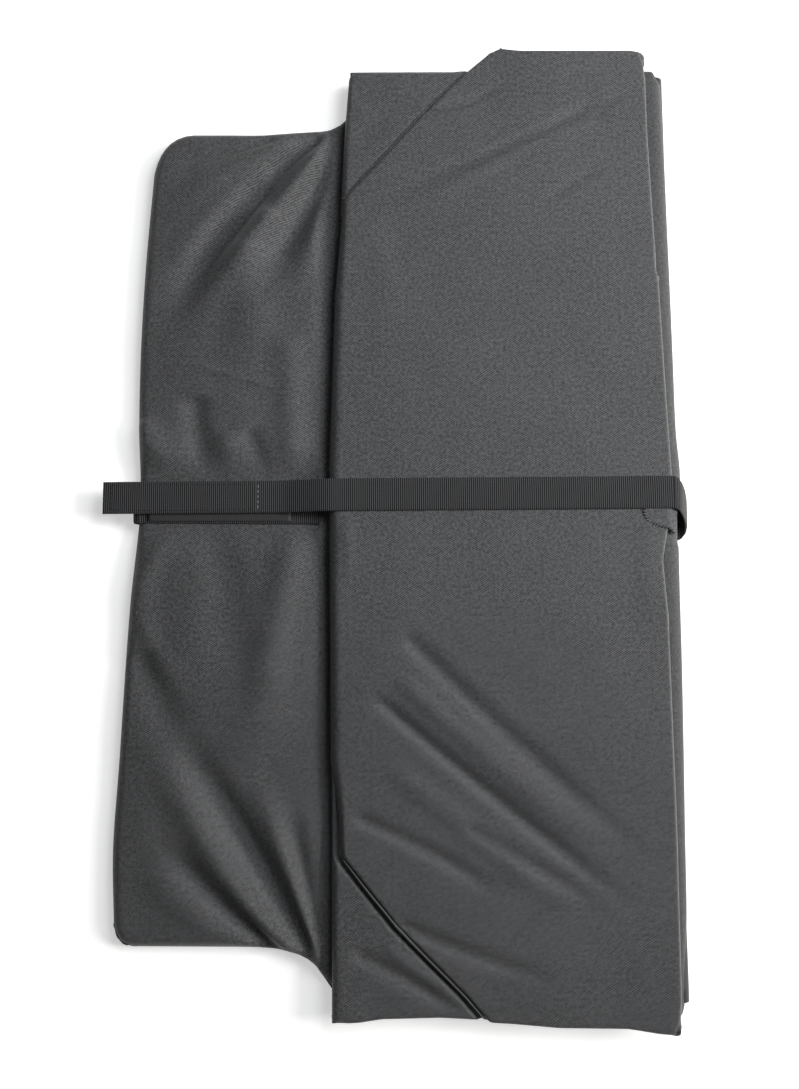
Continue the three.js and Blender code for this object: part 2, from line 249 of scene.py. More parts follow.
def patch(sides, s, t):
    """A Coons patch: each point blends the four side curves and takes their corners away once.

    sides are (bottom, top, left, right) as functions of a share from 0 to 1."""
    bottom, top, left, right = sides
    s = s[:, None, None]
    b = bottom(t)[None]
    u = top(t)[None]
    l = left(s[:, 0, 0])[:, None]
    r = right(s[:, 0, 0])[:, None]
    t = t[None, :, None]
    first, last = np.zeros(1), np.ones(1)
    corners = ((1 - s) * (1 - t) * bottom(first) + (1 - s) * t * bottom(last)
               + s * (1 - t) * top(first) + s * t * top(last))
    return (1 - s) * b + s * u + (1 - t) * l + t * r - corners


def side(points):
    """A side curve as a function of its share, even by length."""
    dense = along_curve(points, 600)
    share = np.linspace(0.0, 1.0, 600)
    return lambda t: np.stack([np.interp(t, share, dense[:, k]) for k in range(2)], axis=1)


# ---- Meshes --------------------------------------------------------------------------------------
def quads(rows, cols, wrap_rows=False, wrap_cols=False):
    """Corner numbers of the quads of a grid, as rows of four."""
    i = np.arange(rows if wrap_rows else rows - 1)
    j = np.arange(cols if wrap_cols else cols - 1)
    i, j = np.meshgrid(i, j, indexing="ij")
    i2 = (i + 1) % rows
    j2 = (j + 1) % cols
    return np.stack([i * cols + j, i * cols + j2, i2 * cols + j2, i2 * cols + j], axis=-1).reshape(-1, 4)


def make_mesh(name, points, faces, material, uv=None, attributes=None, flip=False):
    """A smooth-shaded mesh object from points in millimetres and quads, with a cloth UV map if given."""
    points = np.asarray(points, float).reshape(-1, 3) * MM
    faces = np.asarray(faces)
    if flip:
        faces = faces[:, ::-1]
    mesh = bpy.data.meshes.new(name)
    mesh.vertices.add(len(points))
    mesh.vertices.foreach_set("co", points.ravel())
    mesh.loops.add(faces.size)
    mesh.loops.foreach_set("vertex_index", faces.ravel())
    mesh.polygons.add(len(faces))
    mesh.polygons.foreach_set("loop_start", np.arange(0, faces.size, 4))
    mesh.polygons.foreach_set("use_smooth", np.ones(len(faces), bool))
    mesh.update(calc_edges=True)
    if uv is not None:
        cloth = mesh.uv_layers.new(name="cloth")
        flat = np.asarray(uv, float).reshape(-1, 2) * MM
        cloth.data.foreach_set("uv", flat[faces.ravel()].ravel())
    for key, value in (attributes or {}).items():
        layer_data = mesh.attributes.new(key, "FLOAT", "POINT")
        layer_data.data.foreach_set("value", np.asarray(value, np.float32).ravel())
    mesh.materials.append(material)
    if mesh.validate():
        raise RuntimeError(f"{name} has faulty faces")
    piece = bpy.data.objects.new(name, mesh)
    bpy.context.scene.collection.objects.link(piece)
    return piece


def grid_mesh(name, points, material, uv=None, attributes=None, flip=False, keep=None, wrap=(False, False)):
    """A mesh object from a grid of points, with the quads where keep is true."""
    rows, cols = points.shape[:2]
    faces = quads(rows, cols, *wrap)
    if keep is not None:
        faces = faces[keep.ravel()]
    return make_mesh(name, points, faces, material, uv, attributes, flip)


def thicken(piece, thickness, offset=-1.0):
    """Gives a sheet its ply thickness, below the surface that was worked out."""
    solid = piece.modifiers.new("ply", "SOLIDIFY")
    solid.thickness = thickness
    solid.offset = offset
    solid.use_even_offset = False
    solid.use_quality_normals = True


def finish_piece(piece, nodes, body=None, joined=None):
    """Hides the piece's CAD nodes, then fixes it to one body; a joined piece is only baked where it stands.

    joined is (body, other body, start, end) with the two points in millimetres; its bodies and points are not
    used."""
    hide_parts(*nodes)
    if joined:
        first, second, start, end = joined
        [v * MM for v in start]
        [v * MM for v in end]
        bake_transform(piece)
    else:
        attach(piece, body)


def repeat_shape(name, shape_points, shape_faces, places, material):
    """One mesh that repeats a small shape. places holds one 3x4 array for each copy: axes, then place."""
    places = np.asarray(places, float)
    shape_points = np.asarray(shape_points, float)
    moved = np.einsum("nij,vj->nvi", places[:, :, :3], shape_points) + places[:, None, :, 3]
    shift = np.arange(len(places))[:, None, None] * len(shape_points)
    faces = (np.asarray(shape_faces)[None] + shift).reshape(-1, 4)
    return make_mesh(name, moved.reshape(-1, 3), faces, material)


def bead(sides=6, rings=5):
    """A stitch of unit length along X: round sections whose radius follows half a sine, slightly arched."""
    t = np.linspace(0.0, 1.0, rings)
    angle = np.linspace(0.0, 2 * np.pi, sides, endpoint=False)
    radius = 0.25 + 0.75 * np.sin(np.pi * t)
    x = np.repeat((t - 0.5)[:, None], sides, axis=1)
    y = radius[:, None] * np.cos(angle)
    z = radius[:, None] * np.sin(angle)
    points = np.stack([x, y, z], axis=-1)
    return points.reshape(-1, 3), quads(rings, sides, wrap_cols=True)


def stitch_row(start, end, pitch, radius, fill=0.72):
    """Places for stitches along a straight line: the X axis runs along the line."""
    start, end = np.array(start, float), np.array(end, float)
    span = np.linalg.norm(end - start)
    count = max(int(round(span / pitch)), 1)
    along = (end - start) / span
    up = np.array([0.0, 0.0, 1.0])
    across = np.cross(up, along)
    centres = start + (end - start) * ((np.arange(count) + 0.5) / count)[:, None]
    axes = np.stack([along * pitch * fill, across * radius, up * radius], axis=1)
    return np.concatenate([np.repeat(axes[None], count, axis=0), centres[:, :, None]], axis=2)


# ---- Materials -----------------------------------------------------------------------------------
class Value:
    """A number socket that takes part in sums; each operator adds a Math node."""

    def __init__(self, maker, socket):
        self.maker = maker
        self.socket = socket

    def _math(self, operation, first, second=None):
        inputs = {0: first}
        if second is not None:
            inputs[1] = second
        return Value(self.maker, self.maker.node("Math", {"operation": operation}, inputs).outputs[0])

    def __add__(self, other):
        return self._math("ADD", self, other)

    def __radd__(self, other):
        return self._math("ADD", other, self)

    def __sub__(self, other):
        return self._math("SUBTRACT", self, other)

    def __rsub__(self, other):
        return self._math("SUBTRACT", other, self)

    def __mul__(self, other):
        return self._math("MULTIPLY", self, other)

    def __rmul__(self, other):
        return self._math("MULTIPLY", other, self)

    def sine(self):
        return self._math("SINE", self)

    def over(self, limit):
        return self._math("GREATER_THAN", self, limit)


class MaterialMaker:
    """Builds one node material around a Principled shader."""

    def __init__(self, name, **fixed):
        self.material = bpy.data.materials.new(name)
        self.material.use_nodes = True
        self.tree = self.material.node_tree
        self.shader = self.tree.nodes["Principled BSDF"]
        for socket, value in fixed.items():
            self.shader.inputs[socket.replace("_", " ")].default_value = value

    def node(self, kind, settings=None, inputs=None):
        """Adds a node: its settings first, then a value or a link for each named or numbered input."""
        made = self.tree.nodes.new("ShaderNode" + kind)
        for key, value in (settings or {}).items():
            setattr(made, key, value)
        for key, value in (inputs or {}).items():
            self.feed(made.inputs[key], value)
        return made

    def feed(self, socket, value):
        """Links a socket or sets its value."""
        if isinstance(value, Value):
            value = value.socket
        if isinstance(value, bpy.types.NodeSocket):
            self.tree.links.new(value, socket)
        else:
            socket.default_value = value

    def value(self, socket):
        return Value(self, socket)

    def set(self, name, value):
        self.feed(self.shader.inputs[name], value)

    def cloth(self):
        """The cloth's own map, in metres, as a vector and its two parts."""
        uv = self.node("UVMap", {"uv_map": "cloth"}).outputs[0]
        split = self.node("SeparateXYZ", None, {0: uv})
        return uv, self.value(split.outputs[0]), self.value(split.outputs[1])

    def place(self):
        """Object coordinates, in metres, as a vector and its three parts."""
        where = self.node("TexCoord").outputs["Object"]
        split = self.node("SeparateXYZ", None, {0: where})
        return (where, *(self.value(split.outputs[k]) for k in range(3)))

    def noise(self, vector, size, detail=3.0, rough=0.55):
        """Smooth noise in 0..1 with features of about the given size in millimetres."""
        made = self.node("TexNoise", None, {
            "Vector": vector, "Scale": 1.0 / (size * MM), "Detail": detail, "Roughness": rough})
        return self.value(made.outputs["Fac"])

    def mix(self, share, first, second):
        """A colour between two."""
        made = self.node("Mix", {"data_type": "RGBA"}, {0: share, 6: first, 7: second})
        return made.outputs[2]

    def bump(self, height, distance, strength=1.0, under=None):
        """Bumps the surface by a height in 0..1 of the given distance in millimetres."""
        inputs = {"Strength": strength, "Distance": distance * MM, "Height": height}
        if under is not None:
            inputs["Normal"] = under
        return self.node("Bump", None, inputs).outputs["Normal"]


def rgba(values):
    return (*values, 1.0)


def wave(position, pitch):
    """A sine in 0..1 across a position in metres, one wave for each pitch in metres."""
    return (position * (2.0 * math.pi / pitch)).sine() * 0.5 + 0.5


def twill_material(name, settings, shade=1.0, specks_and_edge_highlight=True):
    """Nylon twill: diagonal lines over single yarns, cloudy fading, pale specks, and a pale edge mark that is
    partly real wear and partly a painted highlight.
    """
    maker = MaterialMaker(name, Sheen_Weight=0.22, Sheen_Roughness=0.45, Specular_IOR_Level=0.35)
    uv, u, v = maker.cloth()
    pitch = settings.twill_pitch
    sway = maker.noise(uv, 12.0, 1.0) * (pitch * 1.4)
    lines = wave(u * 0.56 - v * 0.83 + sway, pitch)
    yarns = wave(u * 0.83 + v * 0.56, pitch * 0.7)
    grain = maker.noise(uv, 1.15, 3.0, 0.85)
    mottle = maker.noise(uv, 2.1, 2.0, 0.6)
    weave = lines * 0.4 + yarns * lines * 0.2 + grain * 0.4
    cloud = maker.noise(uv, 95.0, 4.0, 0.55)
    patchy = maker.noise(uv, 14.0, 3.0, 0.6)
    tone = ((lines - 0.5) * 0.8 + (yarns - 0.5) * 0.3 + (grain - 0.5) * 2.3 + (mottle - 0.5) * 1.7
            + (cloud - 0.5) * 0.35 + (patchy - 0.5) * 0.3 + 0.5)
    dark = tuple(c * shade for c in settings.twill_dark)
    light = tuple(c * shade for c in settings.twill_light)
    cloth = maker.mix(tone, rgba(dark), rgba(light))
    if specks_and_edge_highlight:
        speck = maker.noise(uv, 1.6, 1.0, 0.5)
        lint = speck.over(0.735) * 0.28
        worn_and_lit = maker.value(maker.node("Attribute", {"attribute_name": "wear_and_highlight"}).outputs["Fac"])
        cloth = maker.mix(lint, cloth, rgba((0.30, 0.30, 0.30)))
        # Painted highlight, partly real wear: the pale edge mark lightens the cloth along edges that face the
        # key light.
        cloth = maker.mix(worn_and_lit * 0.6, cloth, rgba((0.21, 0.205, 0.19)))
    maker.set("Base Color", cloth)
    maker.set("Roughness", patchy * 0.18 + 0.62)
    fine = maker.bump(weave, 0.15, 0.9)
    maker.set("Normal", maker.bump(patchy, 0.35, 0.35, under=fine))
    return maker.material


def lining_material(settings):
    """Rubber-coated lining: nearly smooth black with a fine weave pressed through."""
    maker = MaterialMaker("lining", Sheen_Weight=0.08, Specular_IOR_Level=0.45)
    uv, u, v = maker.cloth()
    weave = wave(u, 0.0008) * wave(v, 0.0008)
    film = maker.noise(uv, 22.0, 4.0)
    dark = rgba(settings.lining)
    light = rgba(tuple(c * 2.4 for c in settings.lining))
    maker.set("Base Color", maker.mix(film * 0.6 + weave * 0.3, dark, light))
    maker.set("Roughness", film * 0.3 + 0.38)
    maker.set("Normal", maker.bump(weave, 0.05, 0.7))
    return maker.material


def webbing_material(settings):
    """Grosgrain: ribs across the length, coloured dark between the ribs and light on them as painted shade and
    painted highlight, with the yarns' grain on the crests, a soft streak along it and a painted highlight on
    the turn.
    """
    maker = MaterialMaker("webbing", Sheen_Weight=0.12, Sheen_Roughness=0.4, Specular_IOR_Level=0.3)
    uv, _, v = maker.cloth()
    crest = maker.value(maker.node("Attribute", {"attribute_name": "rib"}).outputs["Fac"])
    yarn = wave(v, 0.0009)
    grain = maker.noise(uv, 0.45, 2.0, 0.8)
    streak = maker.noise(uv, 18.0, 3.0)
    # Painted shade and highlight: the colour follows the rib crests, dark in the gaps and light on the tops.
    tone = crest * crest * 0.9 + (grain - 0.4) * crest * 1.3 + yarn * crest * 0.1 + streak * 0.1 - 0.3
    worn_and_lit = maker.value(maker.node("Attribute", {"attribute_name": "wear_and_highlight"}).outputs["Fac"])
    face = maker.mix(tone, rgba(settings.shade), rgba(settings.face))
    # Painted highlight: the pale beige band on the strap's turn round the fold.
    maker.set("Base Color", maker.mix(worn_and_lit * (grain * 0.5 + 0.5), face, rgba((0.10, 0.098, 0.09))))
    maker.set("Roughness", grain * 0.2 + 0.6)
    maker.set("Normal", maker.bump(grain * 0.5 + yarn * 0.5, 0.12, 0.7))
    return maker.material


def plain_material(name, colour_value, rough, size, depth, metallic=0.0, **fixed):
    """An even finish with small changes of tone, gloss and height of the given size."""
    maker = MaterialMaker(name, Metallic=metallic, **fixed)
    where, _, _, _ = maker.place()
    grain = maker.noise(where, size, 4.0, 0.65)
    wide = maker.noise(where, size * 12.0, 2.0)
    low = rgba(tuple(c * 0.65 for c in colour_value))
    high = rgba(tuple(min(c * 1.6 + 0.004, 1.0) for c in colour_value))
    maker.set("Base Color", maker.mix(grain * 0.6 + wide * 0.4, low, high))
    maker.set("Roughness", grain * 0.2 + rough)
    maker.set("Normal", maker.bump(grain, depth, 0.8))
    return maker.material


def floor_material(colour_value):
    """Pale matt paper with a very faint mottle, lit a little from below like a light table."""
    maker = MaterialMaker("floor_paper", Specular_IOR_Level=0.1, Emission_Strength=0.5)
    where, _, _, _ = maker.place()
    mottle = maker.noise(where, 180.0, 3.0)
    low = rgba(tuple(c * 0.985 for c in colour_value))
    maker.set("Base Color", maker.mix(mottle, low, rgba(colour_value)))
    maker.set("Emission Color", maker.mix(mottle, low, rgba(colour_value)))
    maker.set("Roughness", mottle * 0.05 + 0.85)
    return maker.material


MATERIALS = {}


def finish(name):
    """A finish by name, made once."""
    if name not in MATERIALS:
        scene = bpy.context.scene
        cloth, strap, zips = scene.bag_cloth, scene.bag_strap, scene.bag_zip
        makers = {
            "twill": lambda: twill_material("twill", cloth),
            # A copy of the twill darkened a little as painted shade, for the lower plies and the sleeves.
            "twill_low_shaded": lambda: twill_material("twill_low_shaded", cloth, shade=0.97),
            # A copy of the twill darkened as painted shade, for the fold's side that faces the key light.
            "twill_fold_shaded": lambda: twill_material("twill_fold_shaded", cloth, shade=0.8),
            "lining": lambda: lining_material(cloth),
            "webbing": lambda: webbing_material(strap),
            "pile": lambda: plain_material("pile", (0.020, 0.020, 0.022), 0.75, 0.5, 0.3),
            "tape": lambda: plain_material("zip_tape", zips.tape, 0.7, 0.7, 0.12),
            "coil": lambda: plain_material("zip_coil", zips.coil, 0.3, 1.5, 0.02),
            "enamel": lambda: plain_material("enamel", zips.enamel, 0.28, 3.0, 0.02, metallic=0.85),
            "elastic": lambda: plain_material("elastic", (0.03, 0.03, 0.032), 0.6, 0.6, 0.15),
            "thread_dark": lambda: plain_material("thread_dark", (0.012, 0.012, 0.013), 0.6, 0.4, 0.05),
            "thread_pale": lambda: plain_material("thread_pale", (0.20, 0.20, 0.20), 0.6, 0.4, 0.05),
            "thread_grey": lambda: plain_material("thread_grey", (0.11, 0.11, 0.12), 0.6, 0.4, 0.05),
        }
        MATERIALS[name] = makers[name]()
    return MATERIALS[name]


# ---- Cloth panels --------------------------------------------------------------------------------
EDGE_STEPS = (0.0, 0.3, 0.8, 1.5, 2.4, 3.6, 5.2, 7.2)
TUCK = 3.0


def quarter_drop(gap, reach):
    """How much of a rolled edge's depth is lost at a distance from the edge: a quarter circle."""
    t = np.clip(gap / reach, 0.0, 1.0)
    return 1.0 - np.sqrt(np.clip(1.0 - (1.0 - t) ** 2, 0.0, 1.0))


def panel(name, sides, size, step, height, depth, reach, material, worn_and_lit=None, columns=None):
    """One ply seen from above: a Coons patch between its four sides, at a height worked out from x and y.

    Near the outline the surface rolls down a quarter circle by depth(x, y) over reach(x, y) millimetres,
    and a last row on every side turns under. size is the rough (width, length) of the patch, and the
    edge-mark function gives how much of the pale edge mark, partly wear and partly painted highlight, shows."""
    width, run = size
    s = edge_steps(run, step, EDGE_STEPS)
    t = edge_steps(width, step, EDGE_STEPS) if columns is None else columns
    s = np.concatenate([[TUCK / run], s, [1 - TUCK / run]])
    t = np.concatenate([[TUCK / width], t, [1 - TUCK / width]])
    spot = patch([side(line) for line in sides], s, t)
    x, y = spot[..., 0], spot[..., 1]
    bottom, top, left, right = (along_curve(line, 60) for line in sides)
    outline = np.concatenate([bottom, right[1:], top[::-1][1:], left[::-1][1:]])
    gap, _ = nearest(x, y, outline)
    fall = depth(x, y)
    under = np.zeros(x.shape, bool)
    under[[0, -1]] = True
    under[:, [0, -1]] = True
    drop = np.where(under, 1.12, quarter_drop(gap, reach(x, y)))
    z = height(x, y) - fall * drop
    edge = np.exp(-((gap / 0.8) ** 2))
    # Edge mark: partly real wear, partly a painted highlight; the rows that turn under get none.
    wear_and_highlight = np.where(under, 0.0, edge * (worn_and_lit(x, y) if worn_and_lit else 0.0))
    return grid_mesh(name, np.stack([x, y, z], axis=-1), material, uv=np.stack([x, y], axis=-1),
                     attributes={"wear_and_highlight": wear_and_highlight})


# The zip end's outline, shared by the upper and the lower ply of the body.
# The left side is a slow wave from corner to corner. The two corners are quadratic curves of unequal
# size, and the flare towards the packet bends away from the straight ends.
ZIP_END_LEFT = flowing([(-169.5, -242.0), (-171.3, -205.0), (-169.0, -147.0), (-165.0, -52.0), (-160.7, 8.0),
                        (-162.9, 66.0), (-161.2, 165.0), (-157.5, 224.0)])
ZIP_END_TOP = [*bend((-157.5, 224.0), (-152.5, 250.6), (-131.0, 250.6)), (-86.0, 250.6),
               *bend((-47.0, 254.0), (-38.0, 256.0), (-26.0, 270.0), 6), (164.0, 288.0)]
ZIP_END_BOTTOM = [*bend((-169.5, -242.0), (-168.0, -256.4), (-155.0, -256.4)),
                  *bend((-92.0, -256.6), (-53.0, -256.7), (-46.0, -271.5)), (-36.0, -284.0), (164.0, -290.0)]
SEAM_HEIGHT = 3.2
STRAP_Y = 12.5

# Folds of the loose zip end: they fan out from the two places where the packet pinches it.
ZIP_END_DEPTH = 1.22
ZIP_END_CREASES = [
    ((-39, 254), (-70, 206), (-120, 142), 4.0, 3, 11), ((-46, 247), (-88, 212), (-146, 124), -5.6, 2.6, 12),
    ((-38, 240), (-58, 200), (-98, 126), -4.4, 4, 11), ((-38, 224), (-50, 188), (-66, 136), 2.2, 4, 9),
    ((-74, 247), (-114, 234), (-152, 226), -2.0, 2.5, 4), ((-62, 245), (-106, 225), (-150, 198), 1.6, 4, 11),
    ((-46, 252), (-62, 247), (-88, 239), -1.4, 2, 3), ((-76, 83), (-104, 89), (-138, 99), 0.9, 1.8, 1.5),
    ((-88, 176), (-92, 130), (-80, 70), 1.8, 14, 16), ((-70, 120), (-66, 64), (-66, 16), 2.0, 10, 9),
    ((-162, 62), (-150, 42), (-136, 14), 2.4, 9, 9), ((-126, 78), (-124, 48), (-116, 8), -2.8, 7, 9),
    ((-108, 54), (-104, 36), (-102, 8), 1.2, 6, 7), ((-94, 56), (-86, 36), (-80, 6), -1.6, 5, 7),
    ((-43, -272), (-62, -216), (-92, -144), 3.4, 2.5, 9),
    ((-50, -262), (-86, -202), (-148, -108), -5.6, 3, 11),
    ((-56, -262), (-104, -210), (-158, -118), 3.2, 3, 12),
    ((-64, -260), (-104, -231), (-150, -184), -4.2, 2.5, 9),
    ((-45, -254), (-56, -216), (-66, -168), -2.6, 3, 7),
    ((-82, -255), (-120, -238), (-158, -200), 1.6, 5, 10),
    ((-158, -80), (-147, -106), (-130, -138), -2.4, 9, 11), ((-128, 8), (-152, -30), (-158, -76), 2.2, 7, 8),
    ((-156, -60), (-146, -84), (-126, -104), 1.2, 6, 7), ((-60, 8), (-73, -60), (-92, -166), 2.6, 8, 13),
    ((-122, 8), (-106, -44), (-104, -120), -2.0, 12, 14), ((-82, 218), (-118, 172), (-154, 112), -3.6, 6, 13),
    ((-78, 200), (-106, 160), (-140, 106), 2.4, 8, 12), ((-76, 226), (-112, 198), (-146, 160), 1.2, 5, 9),
]

# Shallow diagonal folds of the shoulder panel, most of them pulled towards its mitred corners.
SHOULDER_CREASES = [
    ((128, 268), (72, 240), (-20, 199), -1.5, 3, 5), ((130, 259), (74, 231), (-10, 192), 1.3, 3, 6),
    ((136, 263), (94, 240), (46, 210), -1.0, 3, 4), ((104, 258), (74, 244), (30, 226), 0.9, 2, 3),
    ((14, 261), (42, 266), (78, 284), -1.3, 2, 3), ((146, 272), (120, 261), (90, 247), -0.8, 2, 3),
    ((96, 203), (112, 214), (134, 225), -1.0, 3, 4), ((106, 285), (124, 288), (144, 292), -0.8, 2, 3),
    ((0, -68), (64, -130), (158, -212), -2.2, 5, 6), ((-20, -104), (62, -172), (150, -240), -2.5, 4, 5),
    ((-4, -94), (60, -150), (130, -206), 1.5, 6, 7), ((-30, -178), (20, -200), (66, -228), -1.9, 4, 5),
    ((-4, -238), (42, -257), (100, -275), -2.0, 4, 5), ((36, -182), (80, -208), (122, -230), -1.5, 4, 5),
    ((-10, -148), (50, -192), (110, -242), 1.2, 7, 7), ((-32, 6), (-31, -16), (-30, -50), 0.8, 4, 5),
    ((150, 20), (152, -20), (150, -80), 0.6, 7, 8), ((-24, 190), (-8, 150), (-20, 100), 0.5, 9, 9),
]
ROOT_CREASES = [
    ((-28, -256), (6, -273), (44, -294), -2.0, 4, 4), ((-10, -250), (18, -272), (48, -292), 1.0, 4, 3),
    ((-26, 236), (-6, 262), (24, 280), -0.4, 6, 6),
]


GROOVE_DEPTH = 3.4


def packet_edge(y):
    """How far left the packet's edge stands at each place along it."""
    return np.interp(y, [-297.0, 30.0, 140.0, 250.0, 286.0], [-38.4, -42.4, -39.8, -34.5, -31.4])


def packet_groove(x, y):
    """Depth of the narrow groove that runs down the zip end along the packet's open side."""
    return np.exp(-(((x - packet_edge(y) + 1.7) / 2.6) ** 2)) * GROOVE_DEPTH


def wrinkle_share():
    """The user's wrinkle depth."""
    return bpy.context.scene.bag_cloth.wrinkle


def zip_end_height(x, y):
    """Height of the loose zip end: a low crown and fanned folds, pressed down by strap and packet."""
    crown = bpy.context.scene.bag_cloth.crown / MM
    loose = smooth((PACKET_LEFT + 1.0 - x) / 13.0)
    free = smooth((np.abs(y - STRAP_Y + 3.0) - 10.0) / 26.0)
    belly = np.sin(np.pi * np.clip((x + 172.0) / 136.0, 0.0, 1.0)) ** 0.7
    ends = 1.0 - 0.3 * smooth((np.abs(y) - 170.0) / 90.0)
    groove = packet_groove(x, y)
    folds = creases(x, y, ZIP_END_CREASES) * wrinkle_share() * ZIP_END_DEPTH
    small = rumples(x, y, 38.0, 11, 3) * 0.55 + rumple(x, y, 90.0, 5) * 0.7
    rise = crown * belly * ends + folds + small
    rise = (rise - 2.0 + np.sqrt((rise + 2.0) ** 2 + 1.2)) / 2
    return BODY_LOW[2] + 0.7 + loose * free * (rise + 0.9) - groove * (1.0 - 0.5 * (1.0 - free))


def build_body_upper():
    """The zip end's upper ply, running on under the packet as far as the fold."""
    split = -30.0
    total = 345.0
    fine = np.arange(7.2, split + 165.0, 1.8)
    coarse = np.linspace(split + 167.0, total - 4.0, 18)
    columns = np.concatenate([EDGE_STEPS[:-1], fine, coarse, [total]]) / total
    right = [(164.0, -290.0), (164.0, 288.0)]
    piece = panel(
        "body_upper_cloth", (ZIP_END_BOTTOM, ZIP_END_TOP, ZIP_END_LEFT, right), (total, 512.0), 1.9,
        zip_end_height, lambda x, y: zip_end_height(x, y) - SEAM_HEIGHT, lambda x, y: 6.5 + 0 * x,
        finish("twill_low_shaded"), columns=columns)
    thicken(piece, bpy.context.scene.bag_cloth.ply)
    finish_piece(piece, ["body_upper_panel"], body="bag_body")
    return piece


def fold_reach(y):
    """How far right the fold's outermost ply stands: a flat parabola, a bulge at the strap, rounded ends."""
    from_end = 292.8 - np.abs(y + 4.2)
    bulge = 2.0 * np.exp(-(((y - 26.0) / 20.0) ** 2))
    rounded = 4.2 * (1.0 - smooth(from_end / 8.0)) + 1.6 * smooth((-y - 235.0) / 45.0)
    return 173.0 - 2.3 * (y / 240.0) ** 2 + bulge - rounded + rumple(y, y * 0, 46.0, 21) * 0.2


def build_body_lower():
    """The underside and the fold in one ply: flat, up round the fold, and back under the shoulders.

    Rows run along Y. The flat part's columns are held inside the outline, and the fold is half a
    superellipse, wide at the top, followed by a short flat lip."""
    slot_x = node_box("outer_zip_coil_near")[0][0] - 2.4, node_box("outer_zip_coil_far")[1][0] + 2.4
    slot_y = node_box("outer_zip_stop_bottom")[0][1] - 3.0, node_box("outer_zip_stop_top")[1][1] + 12.0
    rows = np.unique(np.round(np.concatenate([
        np.linspace(-295.5, 288.5, 152), slot_y, np.linspace(-18.0, 24.0, 22),
        np.linspace(-256.0, -236.0, 12), np.linspace(228.0, 250.0, 12)]), 3))
    columns = np.unique(np.round(np.concatenate([
        np.linspace(-170.0, 160.0, 84), slot_x, np.linspace(-170.0, -156.0, 12)]), 3))
    outline = np.concatenate([np.array(ZIP_END_BOTTOM)[::-1], along_curve(ZIP_END_LEFT, 40)[1:],
                              np.array(ZIP_END_TOP)[1:]])
    low_half = outline[outline[:, 1] < 0.0][::-1]
    high_half = outline[outline[:, 1] >= 0.0]
    low_order = np.argsort(low_half[:, 1])
    high_order = np.argsort(high_half[:, 1])
    level = rows + np.sign(rows) * 1.2 * smooth((np.abs(rows) - 225.0) / 12.0)
    left = np.where(rows < 0.0,
                    np.interp(level, low_half[low_order, 1], low_half[low_order, 0]),
                    np.interp(level, high_half[high_order, 1], high_half[high_order, 0]))
    x = np.maximum(columns[None, :], left[:, None] + 0.7)
    y = np.repeat(rows[:, None], len(columns), axis=1)
    gap, _ = nearest(x, y, outline)
    rise = (SEAM_HEIGHT - 0.3) * quarter_drop(gap, 4.0)
    run_y = np.interp(x, [-159.0, 169.0], [7.0, -4.0])
    channel = 1.0 - smooth((np.abs(y - run_y) - 10.4) / 5.0)
    z = 0.3 + rise + channel * 1.3 * (1.0 - quarter_drop(gap, 3.0))
    flat = np.stack([x, y, z], axis=-1)

    angle = np.radians(np.linspace(-86.0, 90.0, 23))[None, :]
    reach = (fold_reach(rows) - 160.0)[:, None]
    power = 2.0 / 2.7
    turn_x = 160.0 + reach * np.abs(np.cos(angle)) ** power
    turn_z = 8.65 + 8.1 * np.sign(np.sin(angle)) * np.abs(np.sin(angle)) ** power
    press = channel[:, -1:] * 0.9
    turn_x = turn_x - press
    turn_y = np.repeat(rows[:, None], angle.shape[1], axis=1)
    turn = np.stack([turn_x, turn_y, np.maximum(turn_z, 0.3 + channel[:, -1:] * 1.3)], axis=-1)
    lip_x = np.array([156.0, 151.0, 146.0])[None, :] + 0 * rows[:, None]
    lip = np.stack([lip_x, np.repeat(rows[:, None], 3, axis=1), 16.7 - 0.08 * (156.0 - lip_x)], axis=-1)
    points = np.concatenate([flat, turn, lip], axis=1)

    cell_x = (points[:-1, 1:, 0] + points[1:, :-1, 0]) / 2
    cell_y = (points[:-1, 1:, 1] + points[1:, 1:, 1]) / 2
    wide = np.maximum(points[:-1, 1:, 0] - points[:-1, :-1, 0], points[1:, 1:, 0] - points[1:, :-1, 0]) > 1e-3
    wide[:, len(columns) - 1:] = True
    in_slot = ((cell_x > slot_x[0]) & (cell_x < slot_x[1]) & (cell_y > slot_y[0]) & (cell_y < slot_y[1]))
    in_slot[:, len(columns) - 1:] = False
    run = np.concatenate([[0.0], np.cumsum(np.linalg.norm(np.diff(points[len(rows) // 2], axis=0), axis=1))])
    uv = np.stack([np.repeat(run[None], len(rows), axis=0), points[..., 1]], axis=-1)
    # Pale band round the fold's outer face: partly real rubbing, partly a painted highlight where the fold
    # faces the key light.
    wear_and_highlight = np.zeros(points.shape[:2])
    wear_and_highlight[:, len(columns):-3] = 0.25 * np.sin(np.radians(np.linspace(0, 180, angle.shape[1]))) ** 2
    # The fold gets the darkened copy of the twill, as painted shade.
    piece = grid_mesh("body_lower_cloth", points, finish("twill_fold_shaded"), uv=uv, attributes={"wear_and_highlight": wear_and_highlight},
                      keep=wide & ~in_slot, flip=True)
    thicken(piece, bpy.context.scene.bag_cloth.ply)
    finish_piece(piece, ["body_lower_panel", "fold_outer_ply"],
                 joined=("bag_body", "shoulder_fold", (FOLD[0], 0, 2.5), (FOLD[0], 0, 15.5)))
    return piece


